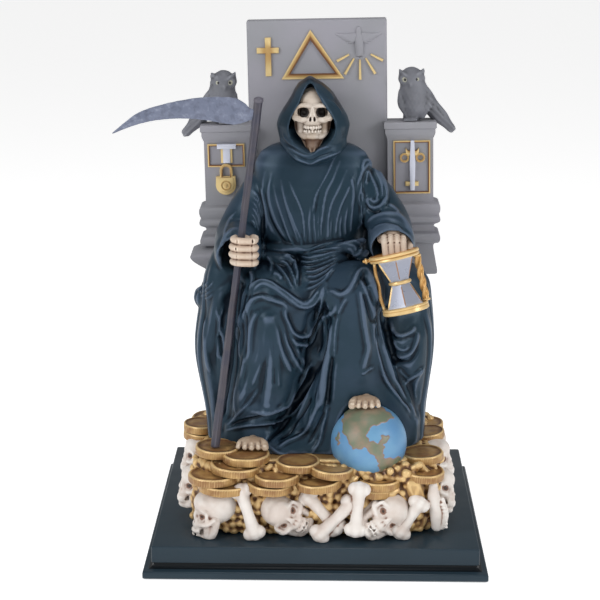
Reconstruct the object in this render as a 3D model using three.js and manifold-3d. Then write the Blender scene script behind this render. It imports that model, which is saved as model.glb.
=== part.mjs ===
// A seated skeleton in a hooded robe on a stone throne, over a mound of coins, bones and skulls.
// Millimetres, +Z up. The figure faces -Y, and the origin is the centre of the plinth's underside.
import * as THREE from "three";
import { mergeVertices } from "three/addons/utils/BufferGeometryUtils.js";
import Module from "manifold-3d";

// Gap left between pieces that are glued together
const seam = 0.3;

// Plinth: a block with a lower tier round it
const plinthWidth = 190;
const plinthDepth = 171;
const plinthBlockHeight = 10.2;
const plinthTierHeight = 8.1;
const plinthTierOutset = 5;
const plinthNosing = 4.6;
const plinthArris = 0.6;

// Mound of coins, nuggets, skulls and bones
const moundWidth = 150;
const moundDepth = 122;
const moundHeight = 43.4;
const moundCentreY = -7;
const coinDiameter = 28;
const coinThickness = 5;
const nuggetDiameter = 7;
const moundSkullHeight = 27;
const boneLength = 33;
const boneThickness = 6.4;

// Throne: a slab between two pillars, with a seat block, leaning as cast
const throneLean = 1.25;
const throneHeight = 248.5;
const slabWidth = 83.6;
const slabThickness = 10;
const slabFrontY = 22;
const slabEdge = 1.2;
const pillarWidth = 27.6;
const pillarDepth = 16;
const pillarHeight = 187.3;
const pillarLowHeight = 138.5;
const capHeight = 9.4;
const capOutset = 2;
const bandOutset = 4;
const seatWidth = 100;
const seatHeight = 90;
const seatFrontY = 4;
const reliefHeight = 1.3;

// Owls on the pillars
const owlHeight = 31.5;

// Figure, from the coin bed to the peak of the hood
const figureHeight = 217.6;

// Scythe
const shaftDiameter = 4.9;
const scytheHeight = 203;
const bladeLength = 83;
const bladeWidth = 15.5;
const bladeThickness = 2.6;

// Globe and hourglass
const globeDiameter = 45.2;
const hourglassHeight = 35;
const hourglassPlateDiameter = 29.6;
const hourglassPlateThickness = 3.2;
const hourglassWaistDiameter = 11;
const hourglassPostDiameter = 3.6;

const wasm = await Module();
wasm.setup();

// Small maths

const front = new THREE.Vector3(0, -1, 0);
const quarterTurn = Math.PI / 2;

function vec(x, y, z) {
  return new THREE.Vector3(x, y, z);
}

function radians(degrees) {
  return THREE.MathUtils.degToRad(degrees);
}

function bell(offset, width) {
  return Math.exp(-((offset / width) ** 2));
}

function ease(from, to, value) {
  return THREE.MathUtils.smoothstep(value, from, to);
}

function mix(from, to, share) {
  return THREE.MathUtils.lerp(from, to, share);
}

function rounded(value, power) {
  return Math.sign(value) * Math.abs(value) ** power;
}

// The value at a share of the way along a list of equally spaced ones.
function along(values, share) {
  const place = share * (values.length - 1);
  const index = Math.min(Math.floor(place), values.length - 2);
  return mix(values[index], values[index + 1], place - index);
}

// The value at a place in a list of [place, value] rows, held flat past its ends.
function stepped(rows, place) {
  const next = rows.findIndex((row) => row[0] >= place);
  if (next === 0) return rows[0][1];
  if (next < 0) return rows[rows.length - 1][1];
  const [lowPlace, lowValue] = rows[next - 1];
  const [highPlace, highValue] = rows[next];
  return mix(lowValue, highValue, (place - lowPlace) / (highPlace - lowPlace));
}

// Solids and their joins

function solid(geometry) {
  const bare = geometry.clone();
  bare.deleteAttribute("normal");
  bare.deleteAttribute("uv");
  const welded = mergeVertices(bare);
  const vertProperties = welded.attributes.position.array;
  const triVerts = new Uint32Array(welded.index.array);
  return new wasm.Manifold(new wasm.Mesh({ numProp: 3, vertProperties, triVerts }));
}

function joined(geometries) {
  return geometries.map(solid).reduce((whole, piece) => whole.add(piece));
}

function without(whole, cuts) {
  return cuts.reduce((rest, cut) => rest.subtract(cut), whole);
}

function geometryOf(body) {
  const mesh = body.getMesh();
  const geometry = new THREE.BufferGeometry();
  geometry.setAttribute("position", new THREE.BufferAttribute(mesh.vertProperties, 3));
  geometry.setIndex(new THREE.BufferAttribute(mesh.triVerts, 1));
  return geometry;
}

// Shapes

function placed(geometry, position, turn = vec(0, 0, 0), scale = vec(1, 1, 1)) {
  const rotation = new THREE.Quaternion().setFromEuler(new THREE.Euler(turn.x, turn.y, turn.z));
  return geometry.applyMatrix4(new THREE.Matrix4().compose(position, rotation, scale));
}

function block(low, high) {
  const size = high.clone().sub(low);
  return placed(new THREE.BoxGeometry(size.x, size.y, size.z), low.clone().add(high).multiplyScalar(0.5));
}

// Everything on and round the plinth up to a level
function belowLevel(level) {
  return block(vec(-plinthWidth, -plinthWidth, -plinthWidth), vec(plinthWidth, plinthWidth, level));
}

function egg(centre, radii, sides, rows, turn = vec(0, 0, 0)) {
  const ball = new THREE.SphereGeometry(1, sides, rows).rotateX(quarterTurn);
  ball.scale(radii.x, radii.y, radii.z);
  return placed(ball, centre, turn);
}

// A closed tube: place gives the point at an angle from the front, a share of the length and of the radius.
function sweep(sides, rows, place) {
  const geometry = new THREE.CylinderGeometry(1, 1, 1, sides, rows);
  const positions = geometry.attributes.position;
  for (let i = 0; i < positions.count; i += 1) {
    const x = positions.getX(i);
    const z = positions.getZ(i);
    const rim = Math.round(Math.hypot(x, z));
    const point = place(Math.atan2(x, z), positions.getY(i) + 0.5, rim);
    positions.setXYZ(i, point.x, point.y, point.z);
  }
  return geometry;
}

// A limb through the points, with its radii at equal shares of its length.
function limb(points, radii, sides, rows, facing = front) {
  const path = new THREE.CatmullRomCurve3(points);
  return sweep(sides, rows, (angle, share, rim) => {
    const tangent = path.getTangent(share);
    const across = tangent.clone().cross(facing).normalize();
    const outward = across.clone().cross(tangent);
    const radius = along(radii, share) * rim;
    const point = path.getPoint(share);
    point.addScaledVector(across, radius * Math.sin(angle));
    return point.addScaledVector(outward, radius * Math.cos(angle));
  });
}

// A block whose sides follow a moulding of [outset, height] rows, from the bottom up.
function moulded(low, high, rows, backShare = 1) {
  const geometry = new THREE.BoxGeometry(2, 2, 1, 1, 1, rows.length - 1);
  const positions = geometry.attributes.position;
  for (let i = 0; i < positions.count; i += 1) {
    const [outset, height] = rows[Math.round((positions.getZ(i) + 0.5) * (rows.length - 1))];
    const x = positions.getX(i) < 0 ? low.x - outset : high.x + outset;
    const y = positions.getY(i) < 0 ? low.y - outset : high.y + outset * backShare;
    positions.setXYZ(i, x, y, height);
  }
  return geometry;
}

// A flat shape drawn in X and Z, standing out towards the front from its own plane.
function raised(shape, plane, height, curveSegments = 4) {
  const geometry = new THREE.ExtrudeGeometry(shape, {
    depth: height,
    bevelEnabled: false,
    curveSegments,
  });
  return geometry.rotateX(quarterTurn).translate(0, plane, 0);
}

function outline(points) {
  return new THREE.Shape(points.map(([x, z]) => new THREE.Vector2(x, z)));
}

function bar(left, low, right, high) {
  return outline([
    [left, low],
    [right, low],
    [right, high],
    [left, high],
  ]);
}

function framed(shape, hole) {
  shape.holes.push(hole);
  return shape;
}

// A straight stroke of even width between two points
function stroke(fromX, fromZ, toX, toZ, width) {
  const line = new THREE.Vector2(toX - fromX, toZ - fromZ).setLength(width / 2);
  return outline([
    [fromX + line.y, fromZ - line.x],
    [toX + line.y, toZ - line.x],
    [toX - line.y, toZ + line.x],
    [fromX - line.y, fromZ + line.x],
  ]);
}

// A skull of height 1 that faces the front, centred between crown and chin
function skull(sides, rows) {
  const cranium = egg(vec(0, 0.08, 0.12), vec(0.4, 0.47, 0.38), sides, rows);
  const cheeks = egg(vec(0, -0.2, -0.07), vec(0.385, 0.2, 0.12), sides, 4);
  const jaw = sweep(sides, 2, (angle, share, rim) => {
    const width = along([0.17, 0.26, 0.3], share) * rim;
    const depth = along([0.12, 0.2, 0.26], share) * rim;
    const centreY = along([-0.26, -0.2, -0.1], share);
    return vec(width * Math.sin(angle), centreY - depth * Math.cos(angle), mix(-0.5, 0, share));
  });
  const sockets = [-1, 1].map((side) =>
    egg(vec(side * 0.165, -0.39, 0.025), vec(0.125, 0.13, 0.115), 6, 4)
  );
  const nose = placed(new THREE.ConeGeometry(0.08, 0.18, 3), vec(0, -0.42, -0.1), vec(quarterTurn, 0, 0));
  return without(joined([cranium, cheeks, jaw]), [...sockets, nose].map(solid));
}

// A coarser skull, for the many that are half buried
function plainSkull() {
  const cranium = egg(vec(0, 0.06, 0.1), vec(0.42, 0.48, 0.4), 7, 4);
  const jaw = sweep(5, 1, (angle, share, rim) => {
    const width = mix(0.2, 0.34, share) * rim;
    const depth = mix(0.14, 0.26, share) * rim;
    return vec(width * Math.sin(angle), -0.2 - depth * Math.cos(angle), mix(-0.5, 0.02, share));
  });
  const sockets = [-1, 1].map((side) =>
    new THREE.ConeGeometry(0.16, 0.3, 4).translate(side * 0.17, -0.36, 0.03)
  );
  return without(joined([cranium, jaw]), sockets.map(solid));
}

// Plinth

const plinthTop = plinthTierHeight + plinthBlockHeight;

function plinthBody() {
  const nosingRound = plinthNosing * 0.25;
  const rows = [
    [plinthTierOutset - plinthArris, 0],
    [plinthTierOutset, plinthArris],
    [plinthTierOutset, plinthNosing - nosingRound],
    [plinthTierOutset - nosingRound, plinthNosing],
  ];
  const coveSteps = 3;
  const coveWidth = plinthTierOutset - nosingRound;
  const coveHeight = plinthTierHeight - plinthNosing;
  for (let step = 1; step <= coveSteps; step += 1) {
    const angle = (step / coveSteps) * quarterTurn;
    rows.push([coveWidth * (1 - Math.sin(angle)), plinthTierHeight - coveHeight * Math.cos(angle)]);
  }
  rows.push([0, plinthTop - plinthArris], [-plinthArris, plinthTop]);
  const half = vec(plinthWidth / 2, plinthDepth / 2, 0);
  return solid(moulded(half.clone().negate(), half, rows));
}

// Globe, half sunk in the front of the mound

const moundBottom = plinthTop + seam;
const bedTop = moundBottom + moundHeight;
const globeCentre = vec(31, moundCentreY - moundDepth * 0.32, bedTop + globeDiameter * 0.17);

function globeBody(spread = 0) {
  const radius = globeDiameter / 2 + spread;
  return solid(egg(globeCentre, vec(radius, radius, radius), 14, 9));
}

// Mound

function moundPoint(shareX, shareY, height) {
  return vec((shareX * moundWidth) / 2, moundCentreY + (shareY * moundDepth) / 2, height);
}

function coin([shareX, shareY, rise, tilt, size], spread = 0) {
  const radius = (coinDiameter * size) / 2 + spread;
  const disc = new THREE.CylinderGeometry(radius, radius, coinThickness + 2 * spread, 9).rotateX(quarterTurn);
  const middle = bedTop + (rise - 0.5) * coinThickness;
  return placed(disc, moundPoint(shareX, shareY, middle), vec(0, radians(tilt), 0));
}

// Each coin: place in the mound, its top above the bed in coin thicknesses, tilt in degrees, size.
// The first carries a foot, the second the scythe, and the next ones lie against the hem.
const topCoins = [
  [-0.55, -0.79, 0.72, 0, 1],
  [-0.78, -0.67, 1.04, 2, 0.95],
  [-0.14, -0.84, 0.1, 0, 0.92],
  [0.12, -0.92, -0.3, 4, 0.92],
  [0.84, -0.6, 0.2, -3, 0.9],
];

const lowCoins = [
  [-0.63, -0.86, -0.3, 3, 1.05],
  [-0.8, -0.9, -1.3, 0, 1.05],
  [-0.72, -0.93, -2.3, 2, 1.05],
  [-0.3, -0.97, -1, -2, 0.95],
  [-0.36, -0.97, -2.1, 3, 0.95],
  [0.02, -1, -1.6, -3, 0.95],
  [0.34, -0.93, -3.4, 2, 1],
  [0.84, -0.8, -1.2, 2, 0.9],
  [-0.95, 0.08, 0.8, 0, 0.8],
  [-0.95, 0.08, -0.3, 3, 0.8],
  [0.9, 0.02, 0.2, -6, 0.8],
  [-0.9, 0.62, -0.6, 0, 0.9],
  [0.9, 0.55, -0.8, 0, 0.9],
  [-0.4, 0.92, -1.2, 0, 0.95],
  [0.3, 0.95, -1.6, 0, 0.95],
];

const coins = [...topCoins, ...lowCoins];
const raisedCoins = coins.filter(([, , rise]) => rise > 0);

// Nuggets in rows along the front, between the coins and the bones
function moundNuggets() {
  const nuggets = [];
  const rows = 2;
  const rowLength = 6;
  for (let row = 0; row < rows; row += 1) {
    for (let place = 0; place < rowLength; place += 1) {
      const shareX = -0.4 + 0.18 * place + 0.09 * (row % 2);
      const wander = Math.sin(place * 2.4 + row * 1.7);
      const radius = (nuggetDiameter / 2) * (1.1 + 0.18 * wander);
      const point = moundPoint(shareX, -0.99 + 0.03 * wander, bedTop - (row + 2.9) * nuggetDiameter);
      nuggets.push(placed(new THREE.OctahedronGeometry(radius, 0), point, vec(wander, place, row)));
    }
  }
  return nuggets;
}

function moundSkull(shareX, shareY, rise, turn, size = 1) {
  const height = moundSkullHeight * size;
  const rotation = new THREE.Matrix4().makeRotationFromEuler(new THREE.Euler(...turn.map(radians), "ZYX"));
  const centre = moundPoint(shareX, shareY, moundBottom + rise * moundSkullHeight);
  const scale = new THREE.Matrix4().makeScale(height, height, height);
  const matrix = new THREE.Matrix4().makeTranslation(centre.x, centre.y, centre.z);
  return plainSkull().transform(matrix.multiply(rotation).multiply(scale).elements);
}

// Place, rise in skull heights, turn about X, Y and Z, and size of each skull
function moundSkulls() {
  return [
    moundSkull(-0.86, -0.93, 0.44, [0, -78, -12], 1.12),
    moundSkull(-0.24, -0.98, 0.5, [-8, 38, 8], 1.08),
    moundSkull(0.56, -0.97, 0.5, [0, 52, 12], 1.12),
    moundSkull(-1.02, -0.5, 0.75, [0, 0, -62], 1),
    moundSkull(-1.02, -0.02, 1.05, [0, 0, -78], 1),
    moundSkull(-1.02, 0.45, 1.05, [0, 0, -90], 1),
    moundSkull(1.02, -0.12, 1.1, [0, 0, 70], 1),
    moundSkull(1.05, -0.55, 0.7, [0, 20, 60], 1),
    moundSkull(1.0, 0.45, 0.9, [0, 0, 95], 1),
    moundSkull(0.05, 1.0, 0.5, [0, 0, 180], 1.05),
  ];
}

// A long bone, its shaft waisted between two wide ends
function bone(from, to) {
  const thick = boneThickness / 2;
  return limb([from, to], [1.1, 1.45, 0.8, 1.45, 1.1].map((share) => share * thick), 5, 4);
}

// A bone that leans against the mound: place and rise of its low end, lean in degrees, reach
function leaningBone(shareX, shareY, rise, lean, reach = 1) {
  const low = moundPoint(shareX, shareY, moundBottom + rise * boneLength);
  const way = vec(Math.sin(radians(lean)), 0.16, Math.cos(radians(lean)));
  return bone(low, low.clone().addScaledVector(way, boneLength * reach));
}

function moundBones() {
  return [
    leaningBone(-0.4, -1.08, 0.12, -24),
    leaningBone(0.14, -1.08, 0.12, 55),
    leaningBone(0.2, -1.04, 0.12, -52, 0.85),
    leaningBone(0.3, -1.08, 0.1, 4, 0.8),
    leaningBone(0.74, -0.96, 0.12, 30, 0.85),
    leaningBone(1.0, -0.85, 0.1, -8, 1.05),
    leaningBone(-0.5, 1.02, 0.12, 60),
    leaningBone(0.6, 1.02, 0.12, -40),
  ];
}

function moundBody() {
  const bed = sweep(16, 3, (angle, share, rim) => {
    const spread = along([0.98, 1.02, 0.98, 0.86], share) * rim;
    const ripple = 1 + 0.02 * Math.cos(7 * angle + 3 * share);
    const x = rounded(Math.sin(angle), 0.4) * spread * ripple;
    const y = -rounded(Math.cos(angle), 0.4) * spread * ripple;
    return moundPoint(x, y, mix(moundBottom, bedTop, share));
  });
  const cast = [bed, ...coins.map((row) => coin(row)), ...moundNuggets(), ...moundBones()];
  const whole = moundSkulls().reduce((sum, head) => sum.add(head), joined(cast));
  const under = solid(belowLevel(moundBottom));
  const socket = globeBody(seam);
  const underFigure = solid(
    sweep(16, 1, (angle, share, rim) => {
      const x = rounded(Math.sin(angle), 0.6) * 0.8 * rim;
      const y = -0.1 - rounded(Math.cos(angle), 0.6) * 0.62 * rim;
      return moundPoint(x, y, bedTop + share * moundHeight);
    })
  );
  return without(whole, [under, socket, underFigure]);
}

// Throne

const throneBottom = bedTop + seam;
const throneBackY = slabFrontY + slabThickness;
const pillarInner = slabWidth / 2 - seam;
const pillarOuter = pillarInner + pillarWidth;
const pillarCentre = pillarInner + pillarWidth / 2;
const pillarFrontY = throneBackY - pillarDepth;
const throneTop = bedTop + throneHeight;
const capTop = bedTop + pillarHeight;
const bandTop = bedTop + pillarLowHeight;

// Turned by the lean about a point behind the figure's chest
function leaning(geometry) {
  const pivot = bedTop + throneHeight * 0.7;
  return geometry.translate(0, 0, -pivot).rotateY(-radians(throneLean)).translate(0, 0, pivot);
}

// Mouldings from the bracket up to the cap, on a grid of which the pillar is 27.6 wide
function pillar(side, spread = 0) {
  const inner = pillarInner * side;
  const outer = pillarOuter * side;
  const low = vec(Math.min(inner, outer), pillarFrontY, 0);
  const high = vec(Math.max(inner, outer), throneBackY, 0);
  const leftFoot = [
    [-0.9, 47],
    [-0.2, 44],
    [0.3, 40],
    [1.4, 36],
    [2.3, 32],
    [2.3, 29],
    [0, 26],
  ];
  const rightFoot = [
    [-1, 51],
    [-1, 45],
    [0.5, 44.5],
    [0, 27],
  ];
  const bands = [
    [0.7, 25],
    [1, 22.5],
    [0.8, 19.5],
    [0.15, 18],
    [0.15, 14],
    [0.95, 11],
    [0.75, 8],
    [1, 4.5],
    [0.9, 1.5],
    [0, 0],
  ];
  const foot = side < 0 ? leftFoot : rightFoot;
  const rows = [...foot, ...bands].map(([outset, drop]) => {
    return [outset * bandOutset, bandTop - (drop * pillarWidth) / 27.6];
  });
  rows.push(
    [0, capTop - capHeight],
    [capOutset * 0.5, capTop - capHeight * 0.75],
    [capOutset * 0.55, capTop - capHeight * 0.45],
    [capOutset, capTop - capHeight * 0.36],
    [capOutset, capTop]
  );
  const spreadRows = rows.map(([outset, height]) => [outset + spread, height]);
  spreadRows[0][1] -= spread;
  const geometry = moulded(low, high, spreadRows, 0);
  const positions = geometry.attributes.position;
  // The side against the slab is never set back from it
  for (let i = 0; i < positions.count; i += 1) {
    const reach = side * positions.getX(i);
    if (reach < pillarCentre) {
      positions.setX(i, side * Math.min(reach, pillarInner - spread));
    }
  }
  return geometry;
}

function ring(x, z, outer, inner) {
  const shape = new THREE.Shape().absarc(x, z, outer, 0, 2 * Math.PI);
  return framed(shape, new THREE.Path().absarc(x, z, inner, 0, 2 * Math.PI));
}

// Shapes drawn from a top centre point, on a grid of a size of their own, standing out of a face by
// shares of the relief height
function reliefs(shapes, height, centreX, topZ, faceY, size) {
  return shapes.map((shape) => {
    const sunk = reliefHeight;
    const geometry = raised(shape, 0, height * reliefHeight + sunk, 3);
    return geometry.scale(size, 1, size).translate(centreX, faceY + sunk, topZ);
  });
}

// Symbols near the top of the slab, on a grid of which the slab is 83.6 wide
function slabReliefs() {
  const cross = outline([
    [-31, -33],
    [-27.4, -33],
    [-27.4, -19.4],
    [-22.8, -19.4],
    [-22.8, -16],
    [-27.4, -16],
    [-27.4, -10],
    [-31, -10],
    [-31, -16],
    [-36, -16],
    [-36, -19.4],
    [-31, -19.4],
  ]);
  const triangle = framed(
    outline([
      [-21, -34.8],
      [15.5, -34.8],
      [-3.8, -6.4],
    ]),
    outline([
      [-16.4, -32],
      [-3.8, -11.6],
      [11, -32],
    ])
  );
  const dove = outline([
    [24, -21],
    [25.2, -13.5],
    [18, -12],
    [10.8, -8.4],
    [22.5, -8.6],
    [24.8, -6],
    [27.5, -8.6],
    [37.2, -8.8],
    [32, -12],
    [27.5, -13.5],
    [27.8, -21],
  ]);
  const rayCount = 5;
  const rays = [];
  for (let i = 0; i < rayCount; i += 1) {
    const angle = radians(mix(-62, 62, i / (rayCount - 1)));
    const start = mix(8, 6.5, Math.abs(Math.cos(angle)));
    const end = mix(13, 18.5, Math.cos(angle));
    const ray = (reach) => [25.6 + reach * Math.sin(angle), -17.5 - reach * Math.cos(angle)];
    rays.push(stroke(...ray(start), ...ray(end), 1.7));
  }
  return reliefs([cross, triangle, dove, ...rays], 1, 0, throneTop, slabFrontY, slabWidth / 83.6);
}

// Frame with a strap and a padlock on the left, frame with a key on the right, on a grid of which a
// pillar is 27.6 wide
function pillarReliefs() {
  const leftFrame = framed(bar(-11.7, -25.4, 10.7, -11.4), bar(-10.1, -23.8, 9.1, -13));
  const strap = bar(-3.5, -23, 3.1, -11);
  const strapBar = bar(-5.7, -14, 5.5, -11.6);
  const shackle = ring(-0.7, -27.4, 3.9, 2.2);
  const lock = outline([
    [-7.1, -31],
    [-6.7, -38.4],
    [-1.1, -42.6],
    [4.3, -38.4],
    [4.7, -31],
    [-1.1, -29.6],
  ]);
  const boss = ring(-1.3, -36, 3.4, 1.7);
  const rightFrame = framed(bar(-10.3, -43.6, 11.9, -11.2), bar(-8.7, -42, 10.3, -12.8));
  const keyShaft = bar(-0.5, -41, 2.7, -11.4);
  const keyRings = [-3.7, 5.7].map((x) => ring(x, -21.8, 2.8, 1.4));
  const crown = outline([
    [-2.9, -19.6],
    [4.9, -19.6],
    [5.3, -16],
    [1.1, -17.4],
    [-3.3, -16],
  ]);
  const bit = bar(-3.3, -38.6, 4.7, -36);
  const onPillar = (side, shapes, height) => {
    return reliefs(shapes, height, side * pillarCentre, capTop, pillarFrontY, pillarWidth / 27.6);
  };
  return [
    ...onPillar(-1, [leftFrame, strap], 1),
    ...onPillar(-1, [strapBar, shackle, lock], 1.7),
    ...onPillar(-1, [boss], 2.2),
    ...onPillar(1, [rightFrame, ...keyRings, crown, bit], 1),
    ...onPillar(1, [keyShaft], 1.7),
  ];
}

function slab(spread = 0) {
  const rows = [
    [spread, throneBottom - spread],
    [spread, throneTop - slabEdge],
    [spread - slabEdge, throneTop + spread],
  ];
  return moulded(vec(-slabWidth / 2, slabFrontY, 0), vec(slabWidth / 2, throneBackY, 0), rows);
}

function seatBlock(spread = 0) {
  const low = vec(-seatWidth / 2 - spread, seatFrontY - spread, throneBottom - spread);
  return block(low, vec(seatWidth / 2 + spread, throneBackY, throneBottom + seatHeight + spread));
}

function throneBody() {
  const pieces = [slab(), seatBlock(), pillar(-1), pillar(1), ...slabReliefs(), ...pillarReliefs()];
  return joined(pieces.map(leaning)).subtract(solid(belowLevel(throneBottom)));
}

// Room that the throne takes out of the figure
function throneRoom() {
  const behind = block(
    vec(-plinthWidth, throneBackY - slabThickness / 2, 0),
    vec(plinthWidth, plinthWidth, 2 * throneTop)
  );
  const rooms = [slab(seam), seatBlock(seam), pillar(-1, seam), pillar(1, seam)];
  return [...rooms.map(leaning), behind].map(solid);
}

// Figure, drawn on a grid that scales with its height

const grid = figureHeight / 217.6;

function at(x, y, z) {
  return vec(x * grid, y * grid, bedTop + z * grid);
}

function radii(...steps) {
  return steps.map((step) => step * grid);
}

function skirtHalfWidth(side, z) {
  return side < 0 ? 66 + 7.5 * bell(z - 58, 34) : 65 + 5 * bell(z - 62, 34);
}

// Folds of the skirt and mantle: a path of X and height, the fold's width, and its height (grooves negative)
const leftFan = [
  [[[-31, 84], [-38, 46], [-48, 27]], 4.5, 3.2],
  [[[-28, 84], [-27, 46], [-30, 28]], 4.5, 3.2],
  [[[-25, 84], [-19, 61], [-7, 49]], 4, 2.8],
  [[[-39, 90], [-40, 62], [-47, 33], [-55, 14]], 4.5, 4],
];
const rightLeg = [
  [[[9, 92], [5, 62], [1, 40], [-4, 18]], 4.5, 4.5],
  [[[25, 100], [29, 69], [27, 50]], 6, 3],
  [[[31, 104], [34, 70], [47, 36], [60, 16]], 5, 4.5],
];
const hems = [
  [[[-39, 96], [-31, 104], [-12, 93], [-4, 91], [2, 99], [16, 99], [25, 112], [31, 105]], 3.5, 3],
  [[[-43, 78], [-38, 92], [-28, 96], [-18, 90]], 3.5, 2.6],
  [[[-2, 59], [-12, 40], [-20, 28], [-40, 26]], 4.5, 3.5],
];
const hollows = [
  [[[-46, 99], [-48, 77], [-50, 50], [-55, 21]], 5, -11],
  [[[3, 84], [-3, 57], [-12, 32], [-21, 14]], 6.5, -12],
  [[[38, 84], [43, 62], [54, 36], [61, 22]], 4.5, -7],
  [[[-30, 14], [-10, 12]], 8, -3],
];
const mantleFolds = [
  [[[-58, 95], [-67, 56], [-62, 6]], 4, 3],
  [[[-53, 92], [-61, 56], [-58, 12]], 3.5, -4],
  [[[42, 76], [51, 69], [60, 78]], 4.5, 3],
  [[[43, 58], [52, 52], [62, 62]], 4.5, 3],
  [[[64, 90], [66, 50], [62, 6]], 4, 3],
];
const skirtFolds = [...leftFan, ...rightLeg, ...hems, ...hollows, ...mantleFolds];

function distanceTo(path, x, z) {
  const point = vec(x, 0, z);
  const ends = path.map(([pathX, pathZ]) => vec(pathX, 0, pathZ));
  const reaches = ends.slice(1).map((end, index) => {
    const nearest = new THREE.Line3(ends[index], end).closestPointToPoint(point, true, vec(0, 0, 0));
    return nearest.distanceTo(point);
  });
  return Math.min(...reaches);
}

// How far the front of the skirt stands out at a place: the knees, the shins and the folds
function skirtReach(x, z) {
  const leftKnee = 9 * bell(x + 29, 18) * mix(0.4, 1, ease(20, 98, z));
  const rightKnee = 12 * bell(x - 20, 16) * mix(0.25, 1, ease(25, 105, z));
  const hem = 3 * (1 - ease(0, 16, z));
  const hourglassRoom = 9 * ease(32, 42, x) * ease(66, 84, z);
  const fold = skirtFolds.reduce((sum, [path, width, height]) => {
    return sum + height * bell(distanceTo(path, x, z), width);
  }, 0);
  return 37 + leftKnee + rightKnee + hem + fold - hourglassRoom;
}

// Skirt and mantle: a wall up to the knees, then the lap closing in to the waist
function skirt() {
  const wallHeight = 90;
  const wallShare = 0.68;
  const lapRise = 21;
  const axisY = -8;
  const backY = 16;
  const cornerPower = 2 / 2.6;
  return sweep(36, 14, (evenAngle, share, rim) => {
    const angle = evenAngle - 0.45 * Math.sin(evenAngle);
    const lapAngle = (Math.max(share - wallShare, 0) / (1 - wallShare)) * quarterTurn * 0.94;
    const close = rounded(Math.cos(lapAngle), 0.5) * rim;
    const lift = lapRise * rounded(Math.sin(lapAngle), 0.6);
    const z = Math.min(share / wallShare, 1) * wallHeight + lift;
    const side = Math.sin(angle);
    const x = rounded(side, cornerPower) * skirtHalfWidth(side, z) * close;
    const depth = rounded(Math.cos(angle), cornerPower);
    const reach = depth > 0 ? skirtReach(x, z) : backY - axisY;
    const y = axisY - reach * depth * close;
    const kneeLift = 6 * bell(x - 21, 14) * bell(y + 48, 22) * Math.sin(lapAngle);
    return at(x, y, z + kneeLift);
  });
}

// Mantle behind the arms, from the shoulders down to the seat
function mantleBack() {
  const widths = [64, 58, 53, 49, 46, 42, 37, 28, 16];
  return sweep(12, 3, (angle, share, rim) => {
    const x = -1 + rounded(Math.sin(angle), 0.7) * along(widths, share) * rim;
    return at(x, 4 - rounded(Math.cos(angle), 0.7) * mix(14, 9, share) * rim, mix(80, 174, share));
  });
}

// Chest, shoulders and waist, with pleats down the front and a girdle
function torso() {
  const widths = [
    [92, 30],
    [112, 30],
    [117, 31.5],
    [122, 30],
    [138, 33],
    [154, 35],
    [167, 34.5],
    [175, 28],
    [180, 13],
  ];
  const depths = [
    [92, 16],
    [112, 20],
    [117, 22],
    [122, 20],
    [138, 19],
    [154, 17],
    [167, 14.5],
    [175, 11.5],
    [180, 7],
  ];
  const low = widths[0][0];
  const high = widths[widths.length - 1][0];
  return sweep(18, 7, (angle, share, rim) => {
    // rows lie closer together towards the shoulders
    const z = mix(low, high, 1 - (1 - share) ** 1.5);
    const pleat = 1.3 * Math.cos(9 * angle) * ease(0.1, 0.5, Math.cos(angle)) * ease(118, 126, z);
    const waist = 1.3 * Math.cos((2 * Math.PI * (z - 117)) / 8) * bell(z - 114, 9);
    const x = -3 + rounded(Math.sin(angle), 0.85) * stepped(widths, z) * rim;
    const depth = (stepped(depths, z) + pleat + waist) * rim;
    const y = -2 - rounded(Math.cos(angle), 0.85) * depth;
    return at(x, y, z);
  });
}

function sleeve(points, sizes) {
  return limb(points.map((point) => at(...point)), radii(...sizes), 9, 4);
}

// A hood with a pointed peak, open at the front in the shape of a drop
function hood() {
  const widths = [
    [160, 10],
    [172, 16],
    [181, 20],
    [190, 21.7],
    [196, 20],
    [203, 16.8],
    [210, 12.6],
    [214.5, 7.6],
    [217.6, 1.8],
  ];
  const low = widths[0][0];
  const high = widths[widths.length - 1][0];
  const shell = sweep(13, 7, (angle, share, rim) => {
    const z = mix(low, high, share);
    const width = stepped(widths, z);
    const depth = mix(width, 19.5, 0.35) * (share > 0.97 ? 0.5 : 1);
    const x = -3 - 1.2 * ease(196, 217, z) + width * Math.sin(angle) * rim;
    return at(x, -2 - depth * Math.cos(angle) * rim, z);
  });
  const collar = limb(
    [at(-20, -8, 180), at(-13, -17, 174.5), at(-4, -21.5, 171), at(7, -17, 175.5), at(14.5, -8, 181)],
    radii(2.6, 3.4, 3.6, 3.4, 2.6),
    5,
    6,
    vec(0, 0, 1)
  );
  return [shell, collar];
}

function hoodOpening() {
  const edge = [
    [-4.6, 215],
    [-11.6, 204.5],
    [-17.5, 195],
    [-19.6, 187],
    [-16.5, 180],
    [-4, 173.5],
    [8.5, 181],
    [11.8, 188],
    [9.6, 198],
    [2, 207],
  ];
  const shape = new THREE.Shape();
  shape.moveTo(edge[0][0], edge[0][1]);
  shape.splineThru(edge.slice(1).map(([x, z]) => new THREE.Vector2(x, z)));
  const depth = 38;
  const opening = raised(shape, 0, depth, 1).translate(0, -5, 0);
  return solid(opening.scale(grid, grid, grid).translate(0, 0, bedTop));
}

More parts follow.
